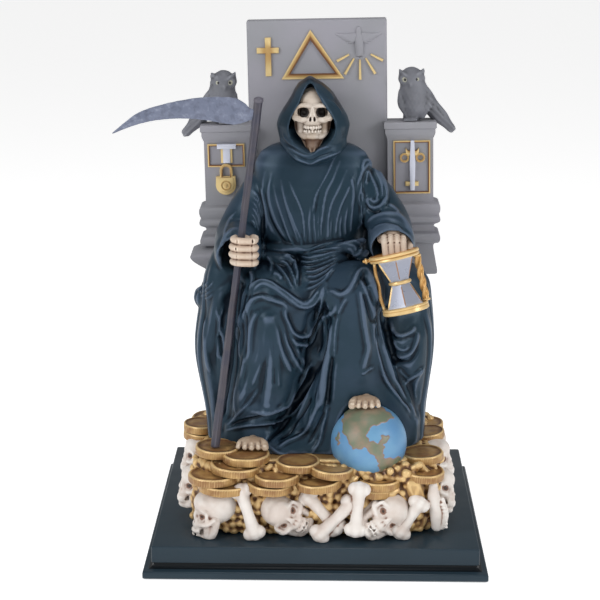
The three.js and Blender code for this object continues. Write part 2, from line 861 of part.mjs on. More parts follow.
// Four fingers that close round the shaft, and the palm behind them
function leftHand() {
  const parts = [egg(at(-42.5, -36.5, 120.5), vec(7 * grid, 4 * grid, 8.6 * grid), 6, 5)];
  for (let finger = 0; finger < 4; finger += 1) {
    const z = 113.6 + 4.5 * finger;
    const inset = finger === 3 ? 1.4 : 0;
    const path = [
      at(-48.6 + inset, -37, z),
      at(-49 + inset, -43.5, z),
      at(-42.5, -45.6, z - 0.2),
      at(-35.6 + inset, -43.2, z - 0.4),
      at(-36 + inset, -37, z - 0.4),
    ];
    parts.push(limb(path, radii(2.2, 2.5, 2.5, 2.5, 2), 5, 3, vec(0, 0, 1)));
  }
  parts.push(limb([at(-47, -14, 122), at(-45, -26, 122), at(-43, -36, 121)], radii(6, 5, 4.6), 6, 2));
  return parts;
}

// Four fingers that hang from the knuckles over the top of the hourglass
function rightHand() {
  const parts = [
    limb([at(41, -14, 130), at(42.6, -28, 134), at(43.4, -39, 132)], radii(6, 6.6, 5), 6, 2),
    egg(at(43.4, -39, 131.6), vec(9 * grid, 5.4 * grid, 4.4 * grid), 7, 5),
  ];
  for (let finger = 0; finger < 4; finger += 1) {
    const x = 37.4 + 4.1 * finger;
    const knuckles = [at(x, -41, 133.4), at(x + 0.2, -45.6, 132)];
    const path = [...knuckles, at(x + 0.5, -49, 128), at(x + 0.8, -51.6, 122.6)];
    parts.push(limb(path, radii(2.1, 2.5, 2.1, 2), 5, 3, vec(1, 0, 0)));
  }
  return parts;
}

// Five toes in front of an instep
function foot(toePoint, heel, toeSpread, bigToeSide) {
  const parts = [limb([heel, heel.clone().lerp(toePoint, 0.6), toePoint], radii(7, 6.5, 5), 7, 2)];
  const toes = 5;
  for (let toe = 0; toe < toes; toe += 1) {
    const shift = (toe / (toes - 1) - 0.5) * bigToeSide;
    const size = toe === toes - 1 ? 3 : 2.1;
    const root = toePoint.clone().add(vec(shift * toeSpread * 0.6 * grid, 2 * grid, grid));
    const tip = toePoint.clone().add(vec(shift * toeSpread * grid, -4 * grid, -1.6 * grid));
    parts.push(limb([root, tip], radii(size, size * 0.8), 5, 1));
  }
  return parts;
}

const leftFootPoint = at(-38, -51, 8.5);
const rightFootPoint = vec(28.5 * grid, globeCentre.y - 4, globeCentre.z + globeDiameter / 2 + 3);

function figureBody() {
  const leftArm = [[-17, 1, 160], [-34, 0, 147], [-46.5, -8, 125], [-46.5, -30, 119]];
  const rightArm = [[14, 1, 162], [29, -1, 150], [41, -12, 134], [43.4, -34, 125]];
  const sleeves = [sleeve(leftArm, [9, 13, 13.6, 14]), sleeve(rightArm, [9, 13, 13, 13.6])];
  const leftDrop = limb([at(-50, -20, 118), at(-55, -22, 100), at(-58, -20, 78)], radii(11, 12, 11), 8, 2);
  const lump = egg(at(-67, -14, 87), vec(7 * grid, 8 * grid, 7.5 * grid), 7, 4);
  const cloth = joined([skirt(), torso(), mantleBack(), ...sleeves, leftDrop, lump, ...hood()]);
  const leftCuff = limb([at(-46.4, -24, 121), at(-46, -46, 115)], radii(9.5, 13), 9, 1);
  const rightCuff = limb([at(43, -24, 128), at(43.6, -50, 120)], radii(9, 13.4), 9, 1);
  const arch = egg(at(31, -60, 6), vec(24.5 * grid, 24 * grid, 37 * grid), 10, 6);
  const toeArch = egg(at(-38, -58, 3), vec(14 * grid, 14 * grid, 14 * grid), 8, 6);
  const openings = [hoodOpening(), ...[leftCuff, rightCuff, arch, toeArch].map(solid)];
  const head = skull(8, 5);
  const headHeight = 30.5 * grid;
  const headPlace = at(-3.2, -7.5, 197.5);
  const headMatrix = new THREE.Matrix4().makeTranslation(headPlace.x, headPlace.y, headPlace.z);
  headMatrix.multiply(new THREE.Matrix4().makeScale(headHeight, headHeight, headHeight));
  const neck = limb([at(-4, -2, 170), at(-3.5, -8, 186)], radii(8, 6), 8, 1);
  const flesh = joined([
    neck,
    ...leftHand(),
    ...rightHand(),
    ...foot(leftFootPoint, at(-37, -34, 10), 17, 1),
    ...foot(rightFootPoint, at(29, -30, 40), 17, -1),
  ]);
  const whole = without(cloth, openings).add(head.transform(headMatrix.elements)).add(flesh);
  return without(whole, [
    solid(belowLevel(bedTop + seam)),
    globeBody(seam),
    scytheBody(seam),
    hourglassRoom(),
    ...throneRoom(),
    ...raisedCoins.map((row) => solid(coin(row, seam))),
  ]);
}

// Scythe: it stands on a coin and passes through the left hand

const [scytheCoinX, scytheCoinY, scytheCoinRise, scytheCoinTilt] = topCoins[1];
const scytheFoot = moundPoint(scytheCoinX, scytheCoinY, bedTop + scytheCoinRise * coinThickness);
const scytheCoinLift = coinDiameter * 0.5 * Math.sin(radians(scytheCoinTilt));
scytheFoot.add(vec(-coinDiameter * 0.04, -coinDiameter * 0.15, scytheCoinLift + seam));
const gripPoint = at(-45.1, -39.7, 120.5);

function scytheBody(spread = 0) {
  const direction = gripPoint.clone().sub(scytheFoot).normalize();
  const shaftLength = scytheHeight / direction.z;
  const top = scytheFoot.clone().addScaledVector(direction, shaftLength);
  const low = scytheFoot.clone().addScaledVector(direction, -spread);
  const middle = low.clone().lerp(top, 0.5);
  const thickness = [0.54, 0.5, 0.5, 0.44, 0.5, 0.68].map((share) => share * shaftDiameter + spread);
  const shaft = limb([low, middle, top], thickness, 7, 5);
  const joint = scytheFoot.clone().addScaledVector(direction, shaftLength - bladeWidth * 0.72);
  const edgePoint = (share, rise) => {
    return new THREE.Vector2(joint.x - bladeLength * share, joint.z + bladeWidth * rise);
  };
  const edge = new THREE.Shape();
  const heel = edgePoint(-0.02, -0.2);
  const tip = edgePoint(1, -0.62);
  edge.moveTo(heel.x, heel.y);
  const back = [edgePoint(0.03, 0.3), edgePoint(0.11, 0.72), edgePoint(0.4, 0.72), edgePoint(0.74, 0.3)];
  edge.splineThru([...back, tip]);
  edge.splineThru([edgePoint(0.72, -0.14), edgePoint(0.46, -0.06), edgePoint(0.14, -0.26), heel]);
  const blade = new THREE.ExtrudeGeometry(edge, {
    depth: bladeThickness * 0.4,
    bevelThickness: bladeThickness * 0.3,
    bevelSize: bladeThickness * 0.3,
    bevelSegments: 1,
    curveSegments: 2,
  });
  blade.rotateX(quarterTurn).translate(0, joint.y + bladeThickness * 0.2, 0);
  return joined([shaft, blade]);
}

// Hourglass: it hangs from the right hand, its foot swung out and back

function upright(radiusTop, radiusBottom, low, high, sides) {
  const drum = new THREE.CylinderGeometry(radiusTop, radiusBottom, high - low, sides);
  return placed(drum, vec(0, 0, (low + high) / 2), vec(quarterTurn, 0, 0));
}

function hung(geometry) {
  const grip = at(44.4, -47, 120);
  const swing = radians(13);
  const pitch = radians(-9);
  return placed(geometry.translate(0, 0, -hourglassHeight * 0.42), grip, vec(pitch, -swing, 0));
}

// Room for the hourglass in the robe
function hourglassRoom() {
  const radius = (hourglassPlateDiameter / 2) * 1.14 + seam;
  const reach = hourglassHeight / 2 + seam;
  return solid(hung(upright(radius, radius, -reach, reach, 12)));
}

function hourglassBody() {
  const plateRadius = hourglassPlateDiameter / 2;
  const top = hourglassHeight / 2;
  const bulbTop = top - hourglassPlateThickness;
  const waist = hourglassWaistDiameter / 2;
  const bulb = plateRadius * 0.78;
  const band = hourglassPlateThickness * 0.3;
  const postRadius = hourglassPostDiameter / 2;
  const twisted = sweep(5, 5, (angle, share, rim) => {
    const turn = angle + share * 2 * Math.PI;
    const flat = 1 + 0.22 * Math.cos(3 * angle);
    const x = plateRadius * 0.86 + Math.sin(turn) * postRadius * flat * rim;
    return vec(x, -Math.cos(turn) * postRadius * flat * rim, mix(-bulbTop, bulbTop, share));
  });
  const thin = upright(postRadius * 0.6, postRadius * 0.6, -bulbTop, bulbTop, 6);
  const knob = new THREE.OctahedronGeometry(postRadius, 0);
  const pieces = [
    upright(plateRadius, plateRadius, bulbTop, top, 12),
    upright(plateRadius * 0.92, plateRadius * 0.92, -top, -bulbTop, 12),
    upright(waist * 1.15, waist * 1.15, -band, band, 8),
    upright(bulb, waist, 0, bulbTop, 6),
    upright(waist, bulb, -bulbTop, 0, 6),
    twisted,
    thin.translate(-plateRadius * 0.82, 0, 0),
    knob.translate(-plateRadius - postRadius * 0.5, 0, bulbTop + hourglassPlateThickness / 2),
  ];
  return joined(pieces.map(hung));
}

// Owls, turned outwards, their tails hanging past the caps, on a grid 31.5 high

function owlBody(side) {
  const size = owlHeight / 31.5;
  const perch = vec(side * (pillarInner + pillarWidth * 0.52), pillarFrontY + pillarDepth / 2, capTop + seam);
  const point = (x, y, z) => vec(x * side * size, y * size, z * size).add(perch);
  const span = (x, y, z) => vec(x * size, y * size, z * size);
  const thick = (...steps) => steps.map((step) => step * size);
  const head = point(0.6, -1.6, 24.4);
  const pieces = [
    limb([point(-0.5, -0.5, -1), point(2.4, 0, 8), point(2.2, -0.6, 17), head], thick(4.6, 8, 8, 6), 7, 3),
    limb([point(5.5, 1.5, 16), point(15, 2.2, 4.5), point(24.5, 2.6, -6)], thick(6, 5, 3), 6, 2),
    limb([point(-0.2, -7, 23.6), point(-0.4, -9.4, 21)], thick(1.3, 0.6), 4, 1),
    egg(head, span(7.6, 6.4, 6), 7, 4),
  ];
  for (const way of [-1, 1]) {
    const earRoot = point(way * 5 + 0.6, -2.2, 27);
    pieces.push(limb([earRoot, point(way * 6.4 + 0.6, -2.8, 31)], thick(2, 0.8), 4, 1));
    pieces.push(egg(point(way * 3.2 - 0.2, -7, 24.8), span(2, 1.1, 2), 5, 3));
  }
  const capEdge = (pillarOuter + capOutset + seam) * side;
  const capLow = vec(Math.min(0, capEdge), pillarFrontY - capOutset - seam, 0);
  const capRoom = block(capLow, vec(Math.max(0, capEdge), throneBackY + seam, capTop + seam));
  return joined(pieces.map(leaning)).subtract(solid(leaning(capRoom)));
}

// Colours and the scene graph

function paint(colour, roughness, metalness = 0) {
  return new THREE.MeshStandardMaterial({ color: colour, roughness, metalness });
}

const statuette = new THREE.Group();

function addPiece(name, body, material) {
  const mesh = new THREE.Mesh(geometryOf(body), material);
  mesh.name = name;
  statuette.add(mesh);
}

addPiece("plinth", plinthBody(), paint(0x26323a, 0.35));
addPiece("mound", moundBody(), paint(0xb48a45, 0.45, 0.3));
addPiece("throne", throneBody(), paint(0x8e8e96, 0.7));
addPiece("figure", figureBody(), paint(0x23323c, 0.35));
addPiece("globe", globeBody(), paint(0x5a8cbe, 0.45));
addPiece("hourglass", hourglassBody(), paint(0xcd964b, 0.4, 0.4));
addPiece("scythe", scytheBody(), paint(0x6e7390, 0.4, 0.2));
addPiece("owl_left", owlBody(-1), paint(0x83838b, 0.7));
addPiece("owl_right", owlBody(1), paint(0x83838b, 0.7));

export default statuette;
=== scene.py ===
import math
import random

import bmesh
import bpy
import numpy as np
from mathutils import Euler, Matrix, Vector, noise


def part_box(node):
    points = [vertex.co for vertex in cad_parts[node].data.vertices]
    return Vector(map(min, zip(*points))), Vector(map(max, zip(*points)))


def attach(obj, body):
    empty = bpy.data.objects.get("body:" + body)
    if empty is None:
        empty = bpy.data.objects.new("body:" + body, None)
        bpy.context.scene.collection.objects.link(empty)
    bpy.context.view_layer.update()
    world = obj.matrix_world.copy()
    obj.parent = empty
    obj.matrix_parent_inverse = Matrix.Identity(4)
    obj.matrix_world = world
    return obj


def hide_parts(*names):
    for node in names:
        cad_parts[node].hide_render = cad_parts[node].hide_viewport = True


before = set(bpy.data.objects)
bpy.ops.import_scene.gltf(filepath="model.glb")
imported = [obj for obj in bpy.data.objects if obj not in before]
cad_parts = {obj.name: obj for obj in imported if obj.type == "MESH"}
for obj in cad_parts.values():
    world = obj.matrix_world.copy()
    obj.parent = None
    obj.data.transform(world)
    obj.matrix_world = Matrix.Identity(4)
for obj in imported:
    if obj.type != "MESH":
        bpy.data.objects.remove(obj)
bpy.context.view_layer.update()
scene = bpy.context.scene
mm = 0.001
print("stage: frame loaded,", len(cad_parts), "nodes")


# camera, lights and floor

studio = {
    "cameraPlace": (7.41, -998.1, 407.2),
    "cameraDown": 14.78,      # degrees
    "cameraYaw": 1.066,
    "cameraRoll": -0.11,
    "lens": 102.0,
    "lightSize": 480.0,
    "aim": (0, 0, 150),
    "lights": {                # place and power
        "keyLeft": ((-900, -700, 700), 6.4),
        "keyRight": ((950, -600, 600), 5.0),
        "topLight": ((0, -100, 1200), 2.6),
        "frontFill": ((0, -1400, 500), 1.1),
    },
    "worldStrength": 0.36,
    "floorTone": 0.93,
    "floorGlow": 0.56,
}


def buildStudio(values):
    camera = bpy.data.objects.new("camera", bpy.data.cameras.new("camera"))
    camera.data.lens = values["lens"]
    camera.data.sensor_width = 36.0
    camera.data.clip_end = 20.0
    camera.location = Vector(values["cameraPlace"]) * mm
    turn = (90 - values["cameraDown"], values["cameraRoll"], values["cameraYaw"])
    camera.rotation_euler = Euler([math.radians(t) for t in turn])
    scene.collection.objects.link(camera)
    scene.camera = camera

    for name, (place, power) in values["lights"].items():
        light = bpy.data.lights.new(name, "AREA")
        light.shape = "SQUARE"
        light.size = values["lightSize"] * mm
        light.energy = power
        lamp = bpy.data.objects.new(name, light)
        lamp.location = Vector(place) * mm
        lamp.rotation_euler = (Vector(values["aim"]) - Vector(place)).to_track_quat("-Z", "Y").to_euler()
        scene.collection.objects.link(lamp)

    world = bpy.data.worlds.new("studioWorld")
    world.use_nodes = True
    background = world.node_tree.nodes["Background"]
    background.inputs["Color"].default_value = (1, 1, 1, 1)
    background.inputs["Strength"].default_value = values["worldStrength"]
    scene.world = world
    scene.view_settings.view_transform = "Standard"

    bm = bmesh.new()
    bmesh.ops.create_grid(bm, x_segments=1, y_segments=1, size=6.0)
    mesh = bpy.data.meshes.new("floor")
    bm.to_mesh(mesh)
    bm.free()
    floor = bpy.data.objects.new("floor", mesh)
    scene.collection.objects.link(floor)
    floor.location.z = -0.0005
    paper = bpy.data.materials.new("paleFloor")
    paper.use_nodes = True
    shader = paper.node_tree.nodes["Principled BSDF"]
    shader.inputs["Base Color"].default_value = (*[values["floorTone"]] * 3, 1)
    shader.inputs["Roughness"].default_value = 0.9
    shader.inputs["Emission Color"].default_value = (1, 1, 1, 1)
    shader.inputs["Emission Strength"].default_value = values["floorGlow"]
    mesh.materials.append(paper)


buildStudio(studio)
print("stage: studio ready")


# small maths

def bell(offset, width):
    return np.exp(-(offset / width) ** 2)


def ease(low, high, value):
    t = np.clip((value - low) / (high - low), 0.0, 1.0)
    return t * t * (3 - 2 * t)


def mix(low, high, share):
    return low + (high - low) * share


def rounded(value, power):
    return math.copysign(abs(value) ** power, value)


def along(values, share):
    # value at a share of the way through evenly spaced ones, eased between them
    place = min(max(share, 0.0), 1.0) * (len(values) - 1)
    i = min(int(place), len(values) - 2)
    t = place - i
    return mix(values[i], values[i + 1], t * t * (3 - 2 * t))


def stepped(rows, place):
    # value at a place in [place, value] rows, in straight lines between them
    if place <= rows[0][0]:
        return rows[0][1]
    for (lowPlace, lowValue), (highPlace, highValue) in zip(rows, rows[1:]):
        if place <= highPlace:
            return mix(lowValue, highValue, (place - lowPlace) / (highPlace - lowPlace))
    return rows[-1][1]


def curvePoint(points, share):
    place = min(max(share, 0.0), 1.0) * (len(points) - 1)
    i = min(int(place), len(points) - 2)
    t = place - i
    b, c = points[i], points[i + 1]
    a = points[i - 1] if i else b * 2 - c
    d = points[i + 2] if i + 2 < len(points) else c * 2 - b
    return 0.5 * (b * 2 + (c - a) * t + (a * 2 - b * 5 + c * 4 - d) * t * t + (b * 3 - a - c * 3 + d) * t ** 3)


def smoothRows(rows, steps):
    # a finer run of points on the curve through rows of two numbers
    points = [Vector((first, 0, second)) for first, second in rows]
    count = (len(points) - 1) * steps
    line = [curvePoint(points, i / count) for i in range(count + 1)]
    return [(p.x, p.z) for p in line]


# shapes in a bmesh, all in millimetres

front = Vector((0, -1, 0))
up = Vector((0, 0, 1))


def tube(bm, sides, rows, place):
    # closed tube: place gives the point at an angle from the front and a share of the length
    made = bmesh.ops.create_grid(bm, x_segments=sides, y_segments=rows, size=0.5)["verts"]
    for v in made:
        v.co = place((v.co.x + 0.5) * math.tau, v.co.y + 0.5)
    bmesh.ops.remove_doubles(bm, verts=made, dist=1e-4)
    made = [v for v in made if v.is_valid]
    rims = {e for v in made for e in v.link_edges if e.is_boundary}
    filled = bmesh.ops.holes_fill(bm, edges=list(rims), sides=0)["faces"]
    faces = {f for v in made for f in v.link_faces} | set(filled)
    bmesh.ops.recalc_face_normals(bm, faces=list(faces))
    return made


def limb(bm, points, radii, sides=12, rows=14, facing=front, cap=0.12, flat=1.0):
    points = [Vector(p) for p in points]

    def place(angle, share):
        middle = min(max((share - cap) / (1 - 2 * cap), 0.0), 1.0)
        radius = along(radii, middle)
        centre = curvePoint(points, middle)
        tangent = (curvePoint(points, middle + 0.01) - curvePoint(points, middle - 0.01)).normalized()
        if cap and share < cap:
            turn = math.pi / 2 * share / cap
            centre -= tangent * radius * math.cos(turn)
            radius *= math.sin(turn)
        if cap and share > 1 - cap:
            turn = math.pi / 2 * (1 - share) / cap
            centre += tangent * radius * math.cos(turn)
            radius *= math.sin(turn)
        across = tangent.cross(facing).normalized()
        outward = across.cross(tangent)
        return centre + across * radius * math.sin(angle) + outward * radius * flat * math.cos(angle)

    return tube(bm, sides, rows, place)


def ball(bm, centre, radii, turn=(0, 0, 0), detail=3):
    if not hasattr(radii, "__len__"):
        radii = (radii,) * 3
    shape = Matrix.LocRotScale(Vector(centre), Euler([math.radians(t) for t in turn]), Vector(radii))
    return bmesh.ops.create_icosphere(bm, subdivisions=detail, radius=1, matrix=shape)["verts"]


def block(bm, low, high):
    low, high = Vector(low), Vector(high)
    shape = Matrix.LocRotScale((low + high) / 2, None, high - low)
    return bmesh.ops.create_cube(bm, size=1, matrix=shape)["verts"]


def moulded(bm, low, high, rows, back=1.0):
    # a block whose sides follow [outset, height] rows from the bottom up
    face = bmesh.ops.create_grid(bm, x_segments=1, y_segments=1, size=1)["verts"][0].link_faces[0]

    def fit(verts, outset, height):
        for v in verts:
            x = low[0] - outset if v.co.x < (low[0] + high[0]) / 2 else high[0] + outset
            y = low[1] - outset if v.co.y < (low[1] + high[1]) / 2 else high[1] + outset * back
            v.co = Vector((x, y, height))

    for v in face.verts:
        v.co.x += (low[0] + high[0]) / 2
        v.co.y += (low[1] + high[1]) / 2
    fit(face.verts, *rows[0])
    made = list(face.verts)
    keep = True
    for outset, height in rows[1:]:
        grown = bmesh.ops.extrude_face_region(bm, geom=[face, *face.edges, *face.verts], use_keep_orig=keep)["geom"]
        keep = False
        face = [g for g in grown if isinstance(g, bmesh.types.BMFace)][0]
        fit(face.verts, outset, height)
        made += list(face.verts)
    faces = {f for v in made for f in v.link_faces}
    bmesh.ops.recalc_face_normals(bm, faces=list(faces))
    return made


def soften(bm, edges, offset, segments):
    return bmesh.ops.bevel(bm, geom=edges, offset=offset, offset_type="OFFSET", segments=segments, profile=0.5,
                           affect="EDGES", material=-1, clamp_overlap=True)["verts"]


def plate(bm, outline, depth, bevel=0.25, segments=2, hole=None):
    # flat shape drawn in X and Z, standing forward of Y 0 by its depth
    loops = [outline] + ([hole] if hole else [])
    edges = []
    for loop in loops:
        verts = [bm.verts.new((x, 0, z)) for x, z in loop]
        edges += [bm.edges.new((a, b)) for a, b in zip(verts, verts[1:] + verts[:1])]
    faces = bmesh.ops.triangle_fill(bm, use_beauty=True, use_dissolve=False, edges=edges)["geom"]
    faces = [g for g in faces if isinstance(g, bmesh.types.BMFace)]
    grown = bmesh.ops.extrude_face_region(bm, geom=faces, use_keep_orig=True)["geom"]
    risen = [g for g in grown if isinstance(g, bmesh.types.BMVert)]
    bmesh.ops.translate(bm, vec=(0, -depth, 0), verts=risen)
    every = {v for f in faces for v in f.verts} | set(risen)
    shell = {f for v in every for f in v.link_faces}
    bmesh.ops.recalc_face_normals(bm, faces=list(shell))
    frontFaces = [f for f in shell if all(v in risen for v in f.verts)]
    rim = [e for f in frontFaces for e in f.edges if any(g not in frontFaces for g in e.link_faces)]
    if bevel:
        made = soften(bm, list(set(rim)), bevel, segments)
        every = {v for v in every if v.is_valid} | set(made)
    return list(every)


def moved(bm, verts, matrix):
    bmesh.ops.transform(bm, matrix=matrix, verts=[v for v in verts if v.is_valid])


def ontoBed(*bunches):
    # from heights above the coin bed to heights above the floor
    for bunch in bunches:
        moved(bunch, bunch.verts, Matrix.Translation((0, 0, bed)))


def merge(bm, other):
    carried = bpy.data.meshes.new("carried")
    other.to_mesh(carried)
    other.free()
    bm.from_mesh(carried)
    bpy.data.meshes.remove(carried)


# pieces

def makePiece(bm, name, auto=None):
    bmesh.ops.scale(bm, vec=(mm, mm, mm), verts=bm.verts)
    mesh = bpy.data.meshes.new(name)
    bm.to_mesh(mesh)
    bm.free()
    piece = bpy.data.objects.new(name, mesh)
    scene.collection.objects.link(piece)
    mesh.shade_smooth()
    if auto is not None:
        mesh.set_sharp_from_angle(angle=math.radians(auto))
    return piece


def bakeModifiers(piece):
    depsgraph = bpy.context.evaluated_depsgraph_get()
    done = bpy.data.meshes.new_from_object(piece.evaluated_get(depsgraph))
    old = piece.data
    piece.modifiers.clear()
    piece.data = done
    bpy.data.meshes.remove(old)
    done.name = piece.name
    done.shade_smooth()


def remesh(piece, voxel):
    grid = piece.modifiers.new("remesh", "REMESH")
    grid.mode = "VOXEL"
    grid.voxel_size = voxel * mm
    grid.adaptivity = 0.0
    bakeModifiers(piece)


def readPoints(piece):
    co = np.empty(len(piece.data.vertices) * 3)
    piece.data.vertices.foreach_get("co", co)
    return co.reshape(-1, 3) / mm


def writePoints(piece, co):
    piece.data.vertices.foreach_set("co", (co * mm).ravel())
    piece.data.update()


def levelFoot(piece, height):
    co = readPoints(piece)
    co[:, 2] = np.clip(co[:, 2], height, None)
    writePoints(piece, co)


def readNormals(piece):
    co = np.empty(len(piece.data.vertices) * 3)
    piece.data.vertices.foreach_get("normal", co)
    return co.reshape(-1, 3)


def readEdges(piece):
    pairs = np.empty(len(piece.data.edges) * 2, dtype=np.int64)
    piece.data.edges.foreach_get("vertices", pairs)
    return pairs.reshape(-1, 2)


def spreadOut(values, edges, rounds, share=0.5):
    # moves each vertex value towards the mean of its neighbours
    count = len(values)
    ends = np.concatenate([edges[:, 0], edges[:, 1]])
    others = np.concatenate([edges[:, 1], edges[:, 0]])
    weight = np.maximum(np.bincount(ends, minlength=count), 1)
    columns = values.reshape(count, -1)
    for _ in range(rounds):
        means = [np.bincount(ends, weights=c[others], minlength=count) / weight for c in columns.T]
        columns = columns + share * (np.stack(means, axis=1) - columns)
    return columns.reshape(values.shape)


def storeLayer(piece, name, values):
    layer = piece.data.attributes.new(name, "FLOAT", "POINT")
    layer.data.foreach_set("value", values.astype(np.float32))


def thinOut(piece, share):
    # fewer faces where the form is plain; the relief layer is carried over
    fewer = piece.modifiers.new("fewer", "DECIMATE")
    fewer.ratio = share
    bakeModifiers(piece)


def relax(piece, rounds, share=0.5):
    writePoints(piece, spreadOut(readPoints(piece), readEdges(piece), rounds, share))


def markRelief(piece, fine=4, broad=30, extra=None, sharp=2.2, soft=0.55):
    # stores how far each vertex lies in a hollow (towards 0) or on a ridge (towards 1)
    co, edges, normals = readPoints(piece), readEdges(piece), readNormals(piece)
    near = spreadOut(co, edges, fine)
    far = spreadOut(near, edges, broad)
    fineDepth = ((co - near) * normals).sum(axis=1)
    broadDepth = ((near - far) * normals).sum(axis=1)
    relief = 0.5 + fineDepth * sharp + broadDepth * soft
    relief = spreadOut(np.clip(relief, 0, 1), edges, 1)
    if extra is not None:
        relief = relief + extra
    storeLayer(piece, "relief", np.clip(relief, 0, 1))


def dress(piece, materials, slot, *replaced):
    piece.data.materials.clear()
    for material in materials if isinstance(materials, list) else [materials]:
        piece.data.materials.append(material)
    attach(piece, "root")
    if replaced:
        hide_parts(*replaced)


# folds: strokes drawn in X and height above the coin bed, pressed into or raised from a surface

def strokeField(x, z, path, reach):
    # distance to a stroke and the share along it, for the points near it
    line = smoothRows(path, 6)
    best = np.full(x.shape, 1e6)
    share = np.zeros(x.shape)
    xs, zs = [p[0] for p in line], [p[1] for p in line]
    near = (x > min(xs) - reach) & (x < max(xs) + reach) & (z > min(zs) - reach) & (z < max(zs) + reach)
    nx, nz = x[near], z[near]
    b, t = best[near], share[near]
    for i, ((ax, az), (bx, bz)) in enumerate(zip(line, line[1:])):
        dx, dz = bx - ax, bz - az
        size = max(dx * dx + dz * dz, 1e-9)
        f = np.clip(((nx - ax) * dx + (nz - az) * dz) / size, 0, 1)
        d = np.hypot(nx - ax - f * dx, nz - az - f * dz)
        closer = d < b
        b = np.where(closer, d, b)
        t = np.where(closer, (i + f) / (len(line) - 1), t)
    best[near], share[near] = b, t
    return best, share


def foldHeight(x, z, strokes):
    # each stroke: path, width, height and the share of its length that its ends run out over
    total = np.zeros(x.shape)
    for path, width, height, runOut in strokes:
        d, share = strokeField(x, z, path, 3 * width)
        ends = ease(0, runOut, share) * ease(0, 0.16, 1 - share)
        total += height * bell(d, width) * (0.15 + 0.85 * ends)
    return total


# paints

def noiseAt(tree, size, detail):
    place = tree.nodes.get("Texture Coordinate") or tree.nodes.new("ShaderNodeTexCoord")
    texture = tree.nodes.new("ShaderNodeTexNoise")
    texture.inputs["Scale"].default_value = size
    texture.inputs["Detail"].default_value = detail
    tree.links.new(place.outputs["Object"], texture.inputs["Vector"])
    return texture.outputs["Fac"]


def mapped(tree, value, low, high, toLow=0.0, toHigh=1.0):
    node = tree.nodes.new("ShaderNodeMapRange")
    node.interpolation_type = "SMOOTHSTEP"
    for socket, number in zip(("From Min", "From Max", "To Min", "To Max"), (low, high, toLow, toHigh)):
        node.inputs[socket].default_value = number
    tree.links.new(value, node.inputs["Value"])
    return node.outputs["Result"]


def blended(tree, factor, first, second):
    node = tree.nodes.new("ShaderNodeMix")
    node.data_type = "RGBA"
    tree.links.new(factor, node.inputs["Factor"])
    for socket, value in ((node.inputs[6], first), (node.inputs[7], second)):
        if isinstance(value, tuple):
            socket.default_value = (*value, 1)
        else:
            tree.links.new(value, socket)
    return node.outputs[2]


def layerValue(tree, name):
    node = tree.nodes.new("ShaderNodeAttribute")
    node.attribute_name = name
    return node.outputs["Fac"]


def paint(name, base, washAndShade, light, rough=(0.45, 0.6), washAndShadeEdge=(0.28, 0.5), lightEdge=(0.6, 0.9), washAndShadeShare=1.0,
          lightShare=0.5, mottle=0.12, mottleSize=60.0, other=None, grain=0.02, grainSize=900.0, metal=0.0,
          specular=0.5, tint=(1, 1, 1), relief=True, pit=None):
    # brushed resin paint: a wash in the hollows that is partly painted shade, a lighter tone on the ridges that is
    # partly painted highlight, a mottled coat between; the pit colour is painted shade in the deepest hollows
    material = bpy.data.materials.new(name)
    material.use_nodes = True
    tree = material.node_tree
    shader = tree.nodes["Principled BSDF"]
    shader.inputs["Metallic"].default_value = metal
    shader.inputs["Specular IOR Level"].default_value = specular
    shader.inputs["Specular Tint"].default_value = (*tint, 1)
    other = other or tuple(c * 0.62 for c in base)
    colour = blended(tree, mapped(tree, noiseAt(tree, mottleSize, 5), 0.62, 0.38, 0.0, mottle * 4), base, other)
    if relief:
        height = layerValue(tree, "relief")
        # the relief layer darkens hollows towards the wash colour, partly as painted shade, and lightens ridges towards
        # the light colour, partly as painted highlight
        colour = blended(tree, mapped(tree, height, washAndShadeEdge[1], washAndShadeEdge[0], 0.0, washAndShadeShare), colour, washAndShade)
        colour = blended(tree, mapped(tree, height, *lightEdge, 0.0, lightShare), colour, light)
        # the deepest hollows go to the pit colour, painted shade
        if pit:
            colour = blended(tree, mapped(tree, height, 0.2, 0.03), colour, pit)
    tree.links.new(colour, shader.inputs["Base Color"])
    tree.links.new(mapped(tree, noiseAt(tree, mottleSize * 2.5, 4), 0.3, 0.7, *rough), shader.inputs["Roughness"])
    bump = tree.nodes.new("ShaderNodeBump")
    bump.inputs["Strength"].default_value = 0.6
    bump.inputs["Distance"].default_value = grain * mm
    tree.links.new(noiseAt(tree, grainSize, 6), bump.inputs["Height"])
    tree.links.new(bump.outputs["Normal"], shader.inputs["Normal"])
    return material


# in each paint below the wash darkens the hollows, partly as painted shade, and the light colour brightens the ridges,
# partly as painted highlight
robePaint = paint("robePaint", base=(0.018, 0.034, 0.054), washAndShade=(0.002, 0.005, 0.010), light=(0.095, 0.13, 0.19),
                  rough=(0.3, 0.4), washAndShadeEdge=(0.18, 0.47), lightEdge=(0.66, 0.98), lightShare=0.66, mottle=0.2,
                  mottleSize=40, other=(0.010, 0.025, 0.037), grain=0.012, specular=0.27, tint=(0.62, 0.8, 1.0))
skullPaint = paint("skullPaint", base=(0.50, 0.435, 0.375), washAndShade=(0.09, 0.045, 0.025), light=(0.84, 0.78, 0.71),
                   rough=(0.42, 0.55), washAndShadeEdge=(0.18, 0.5), lightEdge=(0.53, 0.8), lightShare=0.7, mottle=0.24,
                   mottleSize=70, other=(0.37, 0.29, 0.22), pit=(0.008, 0.005, 0.004), specular=0.35)
handPaint = paint("handPaint", base=(0.48, 0.385, 0.31), washAndShade=(0.085, 0.035, 0.016), light=(0.86, 0.76, 0.64),
                  rough=(0.42, 0.55), washAndShadeEdge=(0.24, 0.5), lightEdge=(0.53, 0.8), lightShare=0.7, mottle=0.14,
                  mottleSize=80, other=(0.50, 0.36, 0.26), pit=(0.03, 0.014, 0.01))
